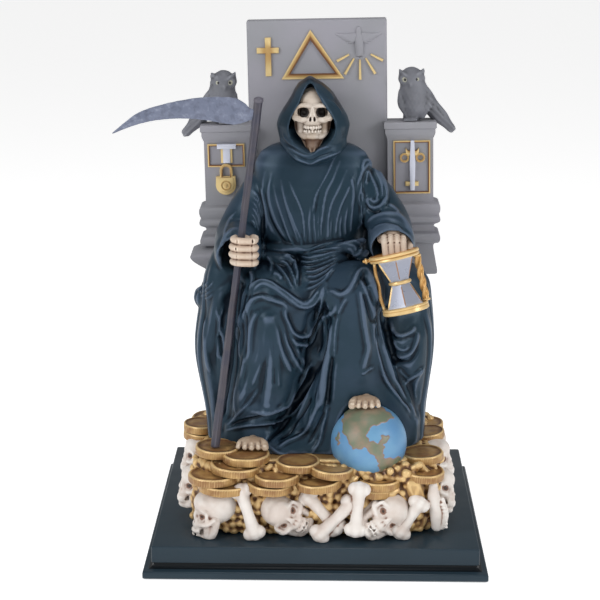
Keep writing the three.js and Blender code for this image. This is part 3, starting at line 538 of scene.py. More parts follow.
footPaint = paint("footPaint", base=(0.44, 0.34, 0.25), washAndShade=(0.06, 0.026, 0.016), light=(0.72, 0.62, 0.50),
                  rough=(0.42, 0.55), washAndShadeEdge=(0.26, 0.51), lightEdge=(0.53, 0.8), lightShare=0.7, mottle=0.2,
                  mottleSize=80, other=(0.30, 0.20, 0.13), pit=(0.02, 0.01, 0.008))
bonePaint = paint("bonePaint", base=(0.72, 0.67, 0.625), washAndShade=(0.22, 0.11, 0.07), light=(0.88, 0.86, 0.83),
                  rough=(0.42, 0.56), washAndShadeEdge=(0.2, 0.47), lightEdge=(0.53, 0.8), mottle=0.16, mottleSize=70,
                  other=(0.56, 0.46, 0.40), pit=(0.03, 0.015, 0.01))
goldPaint = paint("goldPaint", base=(0.43, 0.255, 0.095), washAndShade=(0.10, 0.045, 0.018), light=(0.80, 0.57, 0.27),
                  rough=(0.3, 0.46), washAndShadeEdge=(0.3, 0.52), lightEdge=(0.53, 0.8), lightShare=0.75, mottle=0.16,
                  mottleSize=120, other=(0.26, 0.13, 0.045), grain=0.03, metal=0.3)
gildPaint = paint("gildPaint", base=(0.44, 0.28, 0.10), washAndShade=(0.15, 0.06, 0.02), light=(0.74, 0.58, 0.28),
                  rough=(0.3, 0.42), washAndShadeEdge=(0.25, 0.5), lightEdge=(0.55, 0.8), lightShare=0.7, mottle=0.12,
                  mottleSize=150, other=(0.36, 0.19, 0.06), grain=0.02, metal=0.3)
silverPaint = paint("silverPaint", base=(0.42, 0.44, 0.54), washAndShade=(0.14, 0.14, 0.19), light=(0.7, 0.72, 0.8),
                    rough=(0.3, 0.42), mottle=0.14, mottleSize=120, other=(0.32, 0.33, 0.42), metal=0.25)
owlPaint = paint("owlPaint", base=(0.14, 0.145, 0.168), washAndShade=(0.05, 0.052, 0.06), light=(0.25, 0.26, 0.29),
                 rough=(0.5, 0.65), washAndShadeEdge=(0.3, 0.5), lightEdge=(0.55, 0.85), mottle=0.15, mottleSize=70)
bladePaint = paint("bladePaint", base=(0.125, 0.145, 0.21), washAndShade=(0.07, 0.078, 0.115), light=(0.34, 0.37, 0.46),
                   rough=(0.32, 0.46), washAndShadeShare=0.4, lightShare=0.35, mottle=0.12, mottleSize=60,
                   other=(0.17, 0.19, 0.265), grain=0.05, grainSize=500, metal=0.2)
shaftPaint = paint("shaftPaint", base=(0.05, 0.045, 0.058), washAndShade=(0.014, 0.012, 0.016), light=(0.14, 0.13, 0.16),
                   rough=(0.36, 0.5), mottle=0.2, mottleSize=140, other=(0.03, 0.032, 0.055), grain=0.05)
plinthPaint = paint("plinthPaint", base=(0.020, 0.036, 0.050), washAndShade=(0.003, 0.005, 0.007), light=(0.06, 0.085, 0.1),
                    rough=(0.28, 0.36), mottle=0.05, mottleSize=20, grain=0.004, specular=0.2)
print("stage: paints mixed")


# plinth

plinthSizes = {
    "nosing": 4.6,          # height of the upright lip of the tier
    "lipRound": 1.15,
    "blockRise": 8.1,       # height at which the block starts
    "blockInset": 5.0,      # from the tier's outside to the block's
    "faceLip": 1.0,         # how far the block's face stands out over the cove
    "topRound": 0.8,
    "cornerRound": 0.7,
    "coveSteps": 8,
}


def buildPlinth(sizes):
    low, high = (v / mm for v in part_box("plinth"))
    inset = sizes["blockInset"]
    rows = [(-0.6, 0.0), (0.0, 0.6), (0.0, sizes["nosing"] - sizes["lipRound"])]
    for i in range(1, 4):
        turn = math.pi / 2 * i / 3
        r = sizes["lipRound"]
        rows.append((-r * (1 - math.cos(turn)), sizes["nosing"] - r * (1 - math.sin(turn))))
    steps = sizes["coveSteps"]
    deep = inset + sizes["faceLip"]
    reach, rise = deep - sizes["lipRound"], sizes["blockRise"] - sizes["nosing"] - 0.3
    for i in range(1, steps + 1):
        turn = math.pi / 2 * i / steps
        rows.append((-deep + reach * (1 - math.sin(turn)), sizes["nosing"] + rise * (1 - math.cos(turn))))
    rows += [(-deep, sizes["blockRise"]), (-inset - 0.3, sizes["blockRise"]), (-inset, sizes["blockRise"] + 0.3),
             (-inset, sizes["blockRise"] + 0.8), (-inset, high.z - 1.5)]
    r = sizes["topRound"]
    for i in range(4):
        turn = math.pi / 2 * i / 3
        rows.append((-inset - r * (1 - math.cos(turn)), high.z - r * (1 - math.sin(turn))))
    bm = bmesh.new()
    moulded(bm, low, high, rows)
    corners = [e for e in bm.edges if abs((e.verts[0].co - e.verts[1].co).normalized().z) > 0.2]
    soften(bm, corners, sizes["cornerRound"], 2)
    piece = makePiece(bm, "plinthBlock", auto=20)
    co = readPoints(piece)
    # painted shade in the cove under the block: its relief is set low so that the paint takes the wash colour there
    cove = (co[:, 2] > sizes["nosing"] + 0.25) & (co[:, 2] < sizes["blockRise"] + 0.1)
    storeLayer(piece, "relief", np.where(cove, 0.25, 0.55))
    dress(piece, plinthPaint, "plinth_lacquer", "plinth")


buildPlinth(plinthSizes)
print("stage: plinth")


# throne

throneSizes = {
    "lean": 1.25,           # degrees, towards the viewer's left at the top
    "height": 248.5,
    "slabWidth": 83.6,
    "slabThickness": 10.0,
    "slabFront": 22.0,
    "slabRound": 1.1,
    "pillarWidth": 27.6,
    "pillarDepth": 16.0,
    "pillarHeight": 187.3,
    "bandTop": 138.5,       # top of the lower mouldings above the coin bed
    "bandOutset": 4.0,
    "capHeight": 9.4,
    "capOutset": 2.0,
    "backStep": 0.25,       # pillars and seat end this much short of the slab's back
    "seat": (100.0, 90.0, 4.0),     # width, height, front
    "relief": 1.3,
    "gap": 0.3,
}
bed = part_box("throne")[0].z / mm - throneSizes["gap"]     # top of the coin bed
throneLean = (Matrix.Translation((0, 0, bed + throneSizes["height"] * 0.7))
              @ Matrix.Rotation(-math.radians(throneSizes["lean"]), 4, "Y")
              @ Matrix.Translation((0, 0, -bed - throneSizes["height"] * 0.7)))


def buildThrone(sizes):
    bm = bmesh.new()
    half = sizes["slabWidth"] / 2
    bottom = bed + sizes["gap"]
    top = bed + sizes["height"]
    front = sizes["slabFront"]
    back = front + sizes["slabThickness"]
    block(bm, (-half, front, bottom), (half, back, top))
    soften(bm, bm.edges[:], sizes["slabRound"], 3)
    seatWidth, seatHeight, seatFront = sizes["seat"]
    block(bm, (-seatWidth / 2, seatFront, bottom), (seatWidth / 2, back - 2 * sizes["backStep"], bottom + seatHeight))
    inner = half - sizes["gap"]
    outer = inner + sizes["pillarWidth"]
    bandTop, capTop = bed + sizes["bandTop"], bed + sizes["pillarHeight"]
    cap, reach, lip = sizes["capHeight"], sizes["bandOutset"], sizes["capOutset"]
    leftFoot = [(-0.9, 47), (-0.2, 44), (0.3, 40), (1.4, 36), (2.3, 32), (2.3, 29), (0, 26)]
    rightFoot = [(-1, 51), (-1, 46), (-1, 45), (0.5, 44.5), (0.3, 36), (0, 27)]
    bands = [(0.75, 25), (1, 22.5), (0.85, 19.8), (0.15, 18.2), (0.1, 16), (0.15, 14), (0.9, 12), (1, 9.6),
             (0.7, 8.2), (0.85, 6.8), (1, 4.5), (0.9, 1.5), (0.1, 0), (0, -1.5)]
    for side in (-1, 1):
        low = (min(inner * side, outer * side), back - sizes["pillarDepth"])
        high = (max(inner * side, outer * side), back - sizes["backStep"])
        foot = leftFoot if side < 0 else rightFoot
        rows = smoothRows([(o * reach, bandTop - drop) for o, drop in foot + bands], 4)
        rows += [(0, capTop - cap - 0.4), (0.25, capTop - cap), (lip * 0.5, capTop - cap * 0.8)]
        rows += [(lip * 0.62, capTop - cap * 0.72), (lip * 0.62, capTop - cap * 0.46), (lip, capTop - cap * 0.4)]
        rows += [(lip, capTop - 0.5), (lip - 0.5, capTop)]
        moulded(bm, low, high, rows, back=0)
        # stone behind the bracket, where its foot draws away from the slab
        sides = sorted((side * (half - 2), side * (half + 4.6)))
        block(bm, (sides[0], front + 0.5, bottom + 85), (sides[1], back - 3 * sizes["backStep"], bottom + 98))
    relief = sizes["relief"]

    # dove over the rays, in the stone's own colour
    dove = bmesh.new()
    limb(dove, [(25, 0, -5.6), (25, -0.4, -9), (25.3, -0.5, -13.5), (25.4, -0.2, -20.5)], [1.5, 1.7, 2.6, 2.4], 10, 12,
         flat=0.7)
    for way in (-1, 1):
        for i in range(5):
            reachOut = 13.5 - 1.9 * i
            drop = 2.2 + 1.35 * i
            tip = (25 + way * reachOut, 0, -6.5 - drop)
            limb(dove, [(25 + way * 1.5, -0.3, -9.2), (25 + way * reachOut * 0.55, -0.5, -8.6 - 0.55 * drop), tip],
                 [1.3, 1.25, 0.7], 8, 8, flat=0.55)
    for i in range(3):
        limb(dove, [(25.3, -0.2, -17), (23.6 + 1.8 * i, 0, -22)], [1.1, 1.0], 8, 6, flat=0.5)
    moved(dove, dove.verts, Matrix.Translation((0, front, top)))
    merge(bm, dove)
    moved(bm, bm.verts, throneLean)
    level = bmesh.ops.bisect_plane(bm, geom=bm.verts[:] + bm.edges[:] + bm.faces[:], plane_co=(0, 0, bottom),
                                   plane_no=(0, 0, -1), clear_outer=True)["geom_cut"]
    bmesh.ops.holes_fill(bm, edges=[g for g in level if isinstance(g, bmesh.types.BMEdge)], sides=0)
    stone = makePiece(bm, "throneStone", auto=40)
    dress(stone, stoneFacePaint, "throne_grey", "throne")

    # gilded and silvered reliefs
    gold, silver = bmesh.new(), bmesh.new()
    face = back - sizes["pillarDepth"]
    centre = inner + sizes["pillarWidth"] / 2

    def put(target, outline, depth, x, y, z, hole=None, bevel=0.35):
        verts = plate(target, outline, depth + 1.0, bevel, 2, hole)
        moved(target, verts, Matrix.Translation((x, y + 1.0, z)))

    cross = [(-31, -33), (-27.4, -33), (-27.4, -19.4), (-22.8, -19.4), (-22.8, -16), (-27.4, -16), (-27.4, -10),
             (-31, -10), (-31, -16), (-36, -16), (-36, -19.4), (-31, -19.4)]
    put(gold, cross, relief, 0, front, top)
    put(gold, [(-21.5, -35.1), (16, -35.1), (-3.8, -5.8)], relief, 0, front, top,
        hole=[(-16.2, -31.9), (-3.8, -11.9), (10.8, -31.9)])
    for i in range(5):
        turn = math.radians(mix(-62, 62, i / 4))
        start, end = mix(8, 6.5, abs(math.cos(turn))), mix(13, 18.5, math.cos(turn))
        way, across = Vector((math.sin(turn), -math.cos(turn))), Vector((math.cos(turn), math.sin(turn))) * 0.8
        base = Vector((25.6, -17.5))
        ends = [base + way * start - across * 0.6, base + way * start + across * 0.6,
                base + way * end + across, base + way * end - across]
        put(gold, [tuple(p) for p in ends], relief, 0, front, top)

    def rectangle(left, low, right, high):
        return [(left, low), (right, low), (right, high), (left, high)]

    def circle(x, z, radius, steps=20, low=0.0, high=1.0):
        turns = [mix(low, high, i / steps) * math.tau for i in range(steps + (high - low < 1))]
        return [(x + radius * math.cos(t), z + radius * math.sin(t)) for t in turns]

    def shackle(radius, low):
        return [(radius - 0.7, low)] + circle(-0.7, -27.2, radius, 14, 0.0, 0.5) + [(-radius - 0.7, low)]

    left, right = (-centre, face, capTop), (centre, face, capTop)
    put(gold, rectangle(-11.7, -25.4, 10.7, -11.4), relief * 0.8, *left, hole=rectangle(-10.4, -24.1, 9.4, -12.7))
    put(gold, rectangle(-3.7, -23, 3.3, -12.5), relief * 0.8, *left)
    put(silver, rectangle(-2.4, -23, 2, -12.5), relief * 1.4, *left)
    put(silver, rectangle(-5.9, -14.2, 5.7, -11.3), relief * 1.9, *left)
    put(gold, shackle(3.9, -31.8), relief * 1.9, *left, hole=shackle(2.2, -31.2))
    body = [(-6.9, -31), (4.7, -31)] + circle(-1.1, -36.2, 6.1, 14, 0.0, -0.5)
    put(gold, body, relief * 1.7, *left, bevel=0.6)
    put(gold, [(x * 0.8 - 0.22, z * 0.8 - 7.0) for x, z in body], relief * 2.1, *left, bevel=0.4)
    put(gold, circle(-1.1, -36.4, 3.2), relief * 2.5, *left, hole=circle(-1.1, -36.4, 2.2))
    put(gold, circle(-1.1, -36.4, 1.2, 12), relief * 2.6, *left)
    put(gold, rectangle(-10.3, -43.6, 11.9, -11.2), relief * 0.8, *right, hole=rectangle(-9.0, -42.3, 10.6, -12.5))
    sword = [(-0.4, -41.4), (2.5, -41.4), (2.9, -24), (2.3, -11.0), (0.1, -11.0), (-0.6, -24)]
    put(silver, sword, relief * 1.8, *right)
    for x in (-3.6, 5.9):
        put(gold, circle(x, -21.6, 2.9), relief * 1.2, *right, hole=circle(x, -21.6, 1.7))
    put(gold, [(-2.6, -20.3), (4.8, -20.3), (5.2, -15.6), (3.6, -17.2), (-1.4, -17.2), (-3.0, -15.6)], relief, *right)
    put(gold, rectangle(-3.2, -38.9, 4.9, -36.1), relief * 1.2, *right, bevel=0.7)
    for target, name, material, slot in ((gold, "throneGilding", gildPaint, "hourglass_gold"),
                                         (silver, "throneSilvering", silverPaint, "blade_steel_paint")):
        moved(target, target.verts, throneLean)
        piece = makePiece(target, name, auto=40)
        markRelief(piece, 1, 2)
        dress(piece, material, slot, "throne")


stoneFacePaint = paint("stoneFacePaint", base=(0.262, 0.258, 0.292), washAndShade=(0.1, 0.1, 0.115), light=(0.36, 0.36, 0.40),
                       rough=(0.55, 0.68), mottle=0.12, mottleSize=26, other=(0.215, 0.225, 0.235), grain=0.04,
                       grainSize=500, relief=False)
buildThrone(throneSizes)
print("stage: throne")


# robe: skirt, mantle, bodice and sleeves, drawn in X, Y and height above the coin bed

def carve(bm, name, voxel, hollows=None, rounds=2):
    # joins the overlapping forms of a bmesh into one skin, less the hollows
    piece = makePiece(bm, name)
    if hollows:
        remesh(piece, voxel * 1.2)
        tool = makePiece(hollows, name + "Hollows")
        remesh(tool, voxel * 1.2)
        cut = piece.modifiers.new("hollows", "BOOLEAN")
        cut.operation = "DIFFERENCE"
        cut.solver = "MANIFOLD"
        cut.object = tool
        bakeModifiers(piece)
        bpy.data.meshes.remove(tool.data)
    remesh(piece, voxel)
    relax(piece, rounds)
    return piece


robeSizes = {
    "voxel": 0.82,
    "foldPower": 1.1,
    "foldWidth": 0.8,
    "drawnFrom": (7.4, -998.0, 345.2),      # viewpoint of the fold drawing, in height above the bed
    "drawnAt": -45.0,                       # plane that the folds are drawn on
    "sideFold": 0.7,
    "backFold": 0.8,
    "wallShare": 0.68,                      # share of the skirt's length below the lap
    "wallHeight": 90,
    "lapRise": 21,
    # each knee: place in X, width, reach, share of it at the hem, heights that it grows between
    "knees": [(-29, 18, 9, 0.4, 20, 98), (20, 16, 12, 0.25, 25, 105)],
    "underSleeveShade": -0.3,                    # painted shade under the left sleeve here; over the chest a lighter tone, partly dry-brushing and partly painted highlight
    "chestBrushAndHighlight": 0.15,
    "softer": {"chest": (0.72, 0.9, 0.42), "leftSleeve": (0.85, 0.9, 0.3), "hood": (0.85, 0.8, 0.2),
               "leftShin": (0.7, 1.35, 0.3)},
    "keep": 0.68,
}
# broad forms of the skirt: the path in X and height, then how wide and how high
skirtForms = [
    ([(-31, 84), (-38, 46), (-48, 27)], 4.5, 2.2),
    ([(-28, 84), (-27, 46), (-30, 28)], 4.5, 2.2),
    ([(-25, 84), (-19, 61), (-7, 49)], 4, 1.8),
    ([(-39, 90), (-40, 62), (-47, 33), (-55, 14)], 4.5, 3.2),
    ([(9, 92), (5, 62), (1, 40), (-4, 18)], 4.5, 4.0),
    ([(25, 100), (29, 69), (27, 50)], 6, 2.4),
    ([(31, 104), (34, 70), (47, 36), (60, 16)], 5, 3.6),
    ([(-39, 96), (-31, 104), (-12, 93), (-4, 91), (2, 99), (16, 99), (25, 112), (31, 105)], 3.5, 2.2),
    ([(-43, 78), (-38, 92), (-28, 96), (-18, 90)], 3.5, 2.0),
    ([(-2, 59), (-12, 40), (-20, 28), (-40, 26)], 4.5, 3.0),
    ([(-46, 99), (-48, 77), (-50, 50), (-55, 21)], 5, -11),
    ([(3, 84), (-3, 57), (-12, 32), (-21, 14)], 6.5, -12),
    ([(38, 84), (43, 62), (54, 36), (61, 22)], 4.5, -7),
    ([(-30, 14), (-10, 12)], 8, -3),
    ([(-58, 95), (-67, 56), (-62, 6)], 4, 3),
    ([(-53, 92), (-61, 56), (-58, 12)], 3.5, -4),
    ([(43, 76), (50, 70), (58, 77)], 4.0, 2),
    ([(64, 90), (66, 50), (62, 6)], 4, 3),
]
# finer folds as seen from the front: the path in X and height, then how wide and how high, grooves below 0
robeFolds = {
    "lap": [
        ([(-38, 97.4), (-37.4, 101), (-34.5, 104), (-30.8, 104.8), (-26.4, 103.4), (-22.6, 100.8), (-18.2, 97.9),
          (-13.8, 94.7), (-10, 92.4), (-6.9, 91.7), (-3.1, 93.7), (0.6, 98.4), (3.7, 104.2)], 1.3, 1.5),
        ([(-38.4, 94.8), (-36.1, 99.7), (-32.7, 102.5), (-29.5, 102.6), (-24.5, 100), (-19.5, 96.3),
          (-14.4, 92.7), (-10.7, 90.4), (-6.9, 89.6), (-2.5, 91.2), (1.3, 95.1), (3.2, 99.7),
          (4.7, 104.2)], 1.3, 1.3),
        ([(-41.1, 56.1), (-44.2, 68), (-44.8, 75.9), (-42.8, 81.8), (-39, 90.3), (-36.5, 93.9), (-32.1, 95.5),
          (-27.7, 94.3), (-23.3, 93), (-19.5, 91.4), (-17.3, 89.1)], 1.5, 2.0),
        ([(-18.2, 89.8), (-18.5, 84.6), (-16.6, 79.3), (-13.8, 74.1), (-10, 71.8), (-6.5, 72.8), (-3.7, 77.1),
          (-0.6, 83.4), (2.2, 89.9), (3.8, 96.4), (5, 102.9)], 1.5, 2.0),
        ([(-16, 72.1), (-12.8, 68.2), (-9, 66.8), (-4.6, 67.9), (-1.2, 72.9), (1.3, 78.2), (4.5, 82.8),
          (9.5, 86.7), (12, 91.3)], 1.8, 1.5),
        ([(-0.5, 57.7), (-3.3, 54.2), (-5.8, 51), (-7.4, 46.4), (-10.6, 42), (-13.8, 35.6), (-17.6, 30.2),
          (-22.7, 26.2), (-27.2, 24.2), (-32.3, 24.7), (-37.5, 25.2)], 1.6, 2.0),
        ([(-32.7, 87.1), (-35.9, 84.4), (-38.1, 78.5), (-39.2, 70), (-39.8, 62.1), (-41.7, 56.1), (-43.7, 48.1),
          (-46.3, 38), (-50.2, 28.6)], 1.8, 1.4),
        ([(6.3, 98.7), (9.4, 98.7), (12.6, 97.3), (15.7, 97.7), (18.8, 100.4), (21.3, 105), (23.4, 109.8),
          (26.2, 111.8), (29.3, 110.5), (31.3, 106.3), (32.6, 97.9), (35.5, 90.8), (38.5, 82.3)], 1.5, 2.0),
    ],
    "leftShin": [
        ([(-32.7, 81.8), (-33.1, 71.3), (-34.1, 61.4), (-38, 49.5), (-42.5, 38.1), (-47.7, 29.3)], 1.9, 1.3),
        ([(-30.2, 81.2), (-30.6, 71.4), (-31, 61.5), (-32.8, 54.8), (-36.1, 46.8), (-39.3, 38.1)], 1.5, 1.1),
        ([(-28.2, 81.9), (-27.6, 66.1), (-26.8, 52.9), (-27.9, 41.5), (-29.4, 31.5), (-29.1, 26.1)], 2.2, 1.5),
        ([(-26.1, 82.5), (-24.2, 71.4), (-23.2, 58.2), (-22.6, 46.3), (-22.4, 38.2)], 1.4, 1.0),
        ([(-25.2, 83.2), (-22.8, 74), (-20.9, 63.5), (-17.9, 55.6), (-14.4, 48.3)], 1.2, 1.1),
        ([(-23.9, 84.5), (-20.1, 77), (-17.6, 68.2), (-14.4, 60.9), (-11.2, 54.3), (-7.7, 48.4)], 1.1, 1.1),
        ([(-23, 87.1), (-18.2, 78), (-14.7, 71.5), (-12.2, 64.9), (-9.3, 58.3), (-6.8, 52.4)], 1.1, 1.0),
        ([(-21.4, 74.1), (-19.2, 66.2), (-16.3, 58.9), (-12.5, 51)], 1.0, -1.1),
        ([(-17, 71.5), (-13.8, 64.9), (-10.6, 58.3)], 1.0, -0.9),
        ([(-35.4, 58.1), (-38, 48.1), (-41.9, 36.1)], 1.8, -1.0),
        ([(-30.6, 58.2), (-31.6, 48.2), (-34.2, 34.8)], 1.6, -1.0),
        ([(-25.5, 54.9), (-25.2, 41.6)], 1.3, -0.7),
    ],
    "rightLeg": [
        ([(7.9, 81.5), (8, 71.6), (5.5, 61.1), (4.2, 48.5), (3, 35.1), (1.9, 25)], 2.4, 1.9),
        ([(12.8, 86.1), (11.4, 78.2), (10.6, 68.4), (10, 58.5), (9.7, 53.2)], 1.0, 0.8),
        ([(10, 61.1), (8.2, 50.5), (7.3, 38.5), (6.4, 28.4)], 2.0, -2.6),
        ([(24.4, 101.8), (25.9, 92.7), (27.3, 81.6), (29, 71.8), (29.9, 65.2), (28.2, 57.3),
          (26.6, 50)], 1.9, 1.8),
        ([(26.4, 48.6), (29.3, 51.2), (33.2, 53.5)], 1.0, 1.0),
        ([(25.3, 106.3), (28.2, 97.9), (31.1, 90), (33.2, 82), (33.9, 76)], 1.5, 1.6),
        ([(27, 99.2), (30.5, 88), (33.2, 79)], 1.8, -2.0),
        ([(42.9, 80.6), (44.8, 74.4), (49.7, 72.8), (55, 75.2), (57.2, 79.1)], 1.5, 1.3),
        ([(44.1, 70.4), (46.9, 65.7), (50.7, 64.2), (54.4, 66.6)], 1.1, 1.0),
        ([(45, 63.4), (47.7, 60.2), (52.2, 60.7), (55.9, 64.2), (58.1, 70.5), (58.7, 76.8)], 1.5, 1.6),
        ([(43.7, 76.7), (45.6, 71.6), (50.2, 70.5), (55.8, 72.9)], 1.3, -1.1),
        ([(44.7, 61), (48.1, 57.1), (53.8, 56.7), (57.5, 61.1), (59.6, 68.2)], 1.5, -1.6),
        ([(39.4, 82.1), (41.4, 74.3), (43.1, 66.5), (45.8, 59.4), (47.1, 53.1)], 2.0, -2.6),
        ([(50.3, 42), (54, 46), (58.5, 49.2), (62.9, 53.6)], 1.3, 1.4),
        ([(54, 46), (49.8, 50), (48.2, 52.3)], 1.0, 1.1),
        ([(62.9, 53.2), (59.3, 46.9), (57.9, 40.5), (58.4, 32.5)], 1.1, 0.9),
        ([(33.9, 77.4), (35.1, 67.2), (37.6, 56.2), (40.3, 46.7), (45.8, 38), (52, 30.1), (57.5, 21.3)], 1.1, 1.6),
        ([(36.2, 71.9), (39.4, 61), (43.3, 51.5), (48, 42), (52.7, 33.3), (57.4, 24.5)], 1.1, 1.3),
        ([(35.1, 72.7), (38.3, 57.8), (41.8, 49.1), (47.3, 39.6), (54.3, 29.3)], 1.5, -1.9),
        ([(25.3, 108.5), (27.5, 106.9), (30.1, 102.4)], 2.0, -3.0),
        ([(12, 84.8), (14.5, 90.7), (17.6, 95.9)], 1.1, 0.9),
        ([(6.1, 78.8), (3.9, 68.3), (2.1, 59.7), (-1.1, 51.7), (-6.8, 41), (-13.1, 30.3),
          (-18.2, 22.1)], 3.0, -3.4),
    ],
    "sash": [
        ([(-10, 120), (-4.6, 118.7), (4.1, 120.1), (11.7, 122.9)], 0.8, 1.2),
        ([(-9.8, 116.9), (-4.6, 116.2), (4.1, 118.4), (13, 121.8)], 0.8, 1.2),
        ([(-8.9, 113.5), (-4, 112.9), (4.1, 115.8), (13.7, 120.2)], 0.8, 1.2),
        ([(-7.8, 110.5), (-2.4, 110.2), (5.2, 113.4), (13.9, 118.8)], 0.8, 1.2),
        ([(-6.5, 107.9), (-1.3, 107.5), (5.8, 111.1), (13.4, 116.8)], 0.8, 1.1),
        ([(-5.6, 104.3), (-0.2, 104.9), (5.8, 108.7), (10.7, 113.4)], 0.8, 1.1),
        ([(-6.7, 100), (-1.3, 101.9), (4.2, 105.5), (8, 110)], 0.8, 1.1),
        ([(-10.9, 122.2), (-11.3, 115.5), (-9.8, 107.7), (-10, 100.9)], 1.4, -0.7),
        ([(-19.8, 119.9), (-16, 118.3), (-13.1, 114.4), (-11.3, 109.9), (-11.8, 104.3)], 1.2, 1.5),
        ([(-22, 117.1), (-18.2, 115.5), (-15.5, 111.6), (-13.5, 106.5), (-12.6, 101.5)], 0.9, 1.2),
        ([(-24.8, 115.4), (-20.4, 111), (-16.6, 105.4), (-14.4, 100.3)], 0.9, 1),
        ([(-29.1, 119.9), (-26.4, 115.4), (-26.9, 109.8)], 1, 1),
        ([(-20.7, 120.8), (-15.7, 119.5), (-12.7, 115.4), (-12.5, 111.2)], 1.6, 1.3),
        ([(-25.7, 109.2), (-22.6, 108.2), (-20.1, 105.3)], 1.8, 1.0),
    ],
    "hem": [
        ([(6.8, 44), (0.4, 29.1), (-5.4, 15.4), (-10.2, 10.3), (-17.3, 6.5), (-23.5, 2.4)], 1.1, 1.4),
        ([(-53.1, 13.7), (-42.1, 16.6), (-30.3, 18.2), (-18.5, 21.5), (-11.1, 27.8), (-5.5, 36.5)], 1, 1.6),
        ([(-10.2, 34), (-18.5, 26.5), (-31.5, 22), (-45.7, 19), (-52.3, 15.7)], 1.4, -1.8),
        ([(-28, 3.9), (-22, -0.4), (-10.1, -2.9), (4.1, -1.6)], 1.2, 1.4),
        ([(-14.9, 26.5), (-19.6, 16.5), (-25.6, 10.2), (-29.1, 6.4)], 1.5, -1.5),
        ([(-2.2, 36.5), (-9, 24.1), (-14.9, 14), (-22, 7.7)], 1.4, -1.6),
        ([(7.5, 34.1), (4.2, 19.2), (1.7, 6.7), (-3, -0.3)], 1.2, 1.1),
        ([(5.8, 26.7), (0.5, 15.4), (-5.4, 5.4)], 1, -1.2),
        ([(-51.6, 17.5), (-45.6, 24.8), (-39.5, 31.3), (-33.8, 40)], 1, 0.9),
    ],
    "leftMantle": [
        ([(-58.7, 88.6), (-57.2, 81.1), (-57.5, 73), (-57.4, 62.1), (-56.4, 57.7)], 1.2, 1.2),
        ([(-63.9, 83.7), (-65.1, 75.6), (-65.4, 67.5), (-64.3, 56.6), (-62.3, 48.4)], 1.4, 1.3),
        ([(-54, 90.8), (-56.1, 83.8), (-56.2, 78.4), (-55.2, 71.4), (-53.7, 65.9)], 1.4, 1.3),
        ([(-56.5, 73), (-56.6, 64.8), (-55.6, 58.3)], 1.6, -2.2),
        ([(-44, 109), (-43.6, 97.3), (-45.2, 81.2)], 1.4, 1.0),
        ([(-38.8, 111.7), (-37.3, 104.8), (-41, 95.2)], 1.4, 1.2),
        ([(-41, 99.4), (-42.1, 88.7), (-45.3, 75.8), (-44.8, 64.9), (-43.3, 56.8)], 1.5, 1.0),
    ],
    "chest": [
        ([(-30, 168.4), (-31.1, 161.9), (-30.4, 154.2), (-28.9, 146.5), (-27.4, 138.8),
          (-25, 132.2)], 1.3, 1.1),
        ([(-26.3, 167.4), (-27.8, 158.6), (-26.8, 149.8), (-23.6, 139.9), (-18.5, 130)], 1.5, 1.3),
        ([(-27.8, 145.4), (-25, 137.7), (-20.9, 131.1), (-17.7, 127.1)], 1.4, -1.2),
        ([(-25, 160.8), (-23.1, 152.1), (-19.6, 141.1), (-16, 131.1), (-13.1, 125.8)], 0.9, 1),
        ([(-20.9, 164.1), (-19, 154.3), (-16, 143.3), (-12.5, 133.4), (-10.3, 126.7)], 0.9, 0.9),
        ([(-16, 163.1), (-13.6, 157.1), (-10.3, 149.9), (-8.4, 143.9), (-7.5, 135.6), (-6.8, 126.7)], 0.8, 1.1),
        ([(-18.5, 154.3), (-16, 146.6), (-13.1, 138.9), (-9.5, 130), (-8.8, 125.8)], 0.8, 0.9),
        ([(10.2, 179), (6.5, 170.3), (1.9, 161), (-1.1, 153.8), (-2.1, 146.9)], 0.9, 1.5),
        ([(8.6, 175.2), (4.4, 166.5), (0.7, 157.7), (-0.7, 150), (-1.2, 143.4)], 1.4, -1.1),
        ([(12.6, 175.2), (9, 165.4), (5.5, 158.3), (3.7, 150.6), (2.9, 144), (2.1, 136.8),
          (2.3, 129)], 0.9, 1.2),
        ([(16.5, 169.8), (12.1, 159.4), (8.2, 151.1), (6.3, 142.3), (5.9, 133.5), (5.8, 129)], 0.9, 1),
        ([(21, 167.6), (17.3, 158.3), (13.2, 149), (11.1, 140.1), (10.5, 131.3)], 0.9, 1.1),
        ([(-4.2, 148.9), (-4.7, 138.9), (-3.8, 126.7)], 0.8, 0.8),
        ([(-2.1, 146.9), (-1.6, 137.9), (-0.9, 127.3)], 0.8, 0.9),
        ([(0.7, 145.6), (0.3, 137.9), (0.8, 129)], 0.7, 0.8),
        ([(8.5, 144.5), (7.5, 135.7), (7.5, 129.3)], 0.7, 0.9),
        ([(14.2, 146.8), (12.9, 137.9), (13.4, 130.4)], 0.8, 0.9),
        ([(17.4, 150.1), (15.9, 140.2), (16.2, 131.9)], 0.8, 0.9),
        ([(23.3, 172), (24.9, 163.3), (23.5, 154.5), (25.5, 146.8), (26.3, 139.7)], 0.9, 1.1),
        ([(27, 163.8), (25.2, 158.4), (27.1, 149.1), (24.8, 139.7), (22.4, 134.7)], 0.8, 0.9),
        ([(22.2, 160), (20.3, 150.1), (19.3, 140.2), (19, 133.5)], 0.8, 0.8),
        ([(-12.2, 124.5), (-5.7, 123.4), (3, 126.6), (10.6, 128.4), (16, 129.3)], 0.7, 1.1),
        ([(-28.5, 124.4), (-20.9, 123.3), (-11.7, 124)], 0.8, 0.9),
        ([(-10, 120.5), (-4.6, 121.6), (4.1, 123.7), (14.4, 125.1)], 0.7, 1),
        ([(-9.5, 121.7), (-2.4, 120.1), (7.3, 121.5), (14.9, 123.5)], 0.8, 1),
        ([(16, 129.3), (21.4, 129.3), (25.2, 125.8), (23.9, 121.3), (17.2, 119.3)], 1, 1.1),
        ([(17.1, 126.9), (21.4, 125.8), (22.5, 123)], 0.7, 0.9),
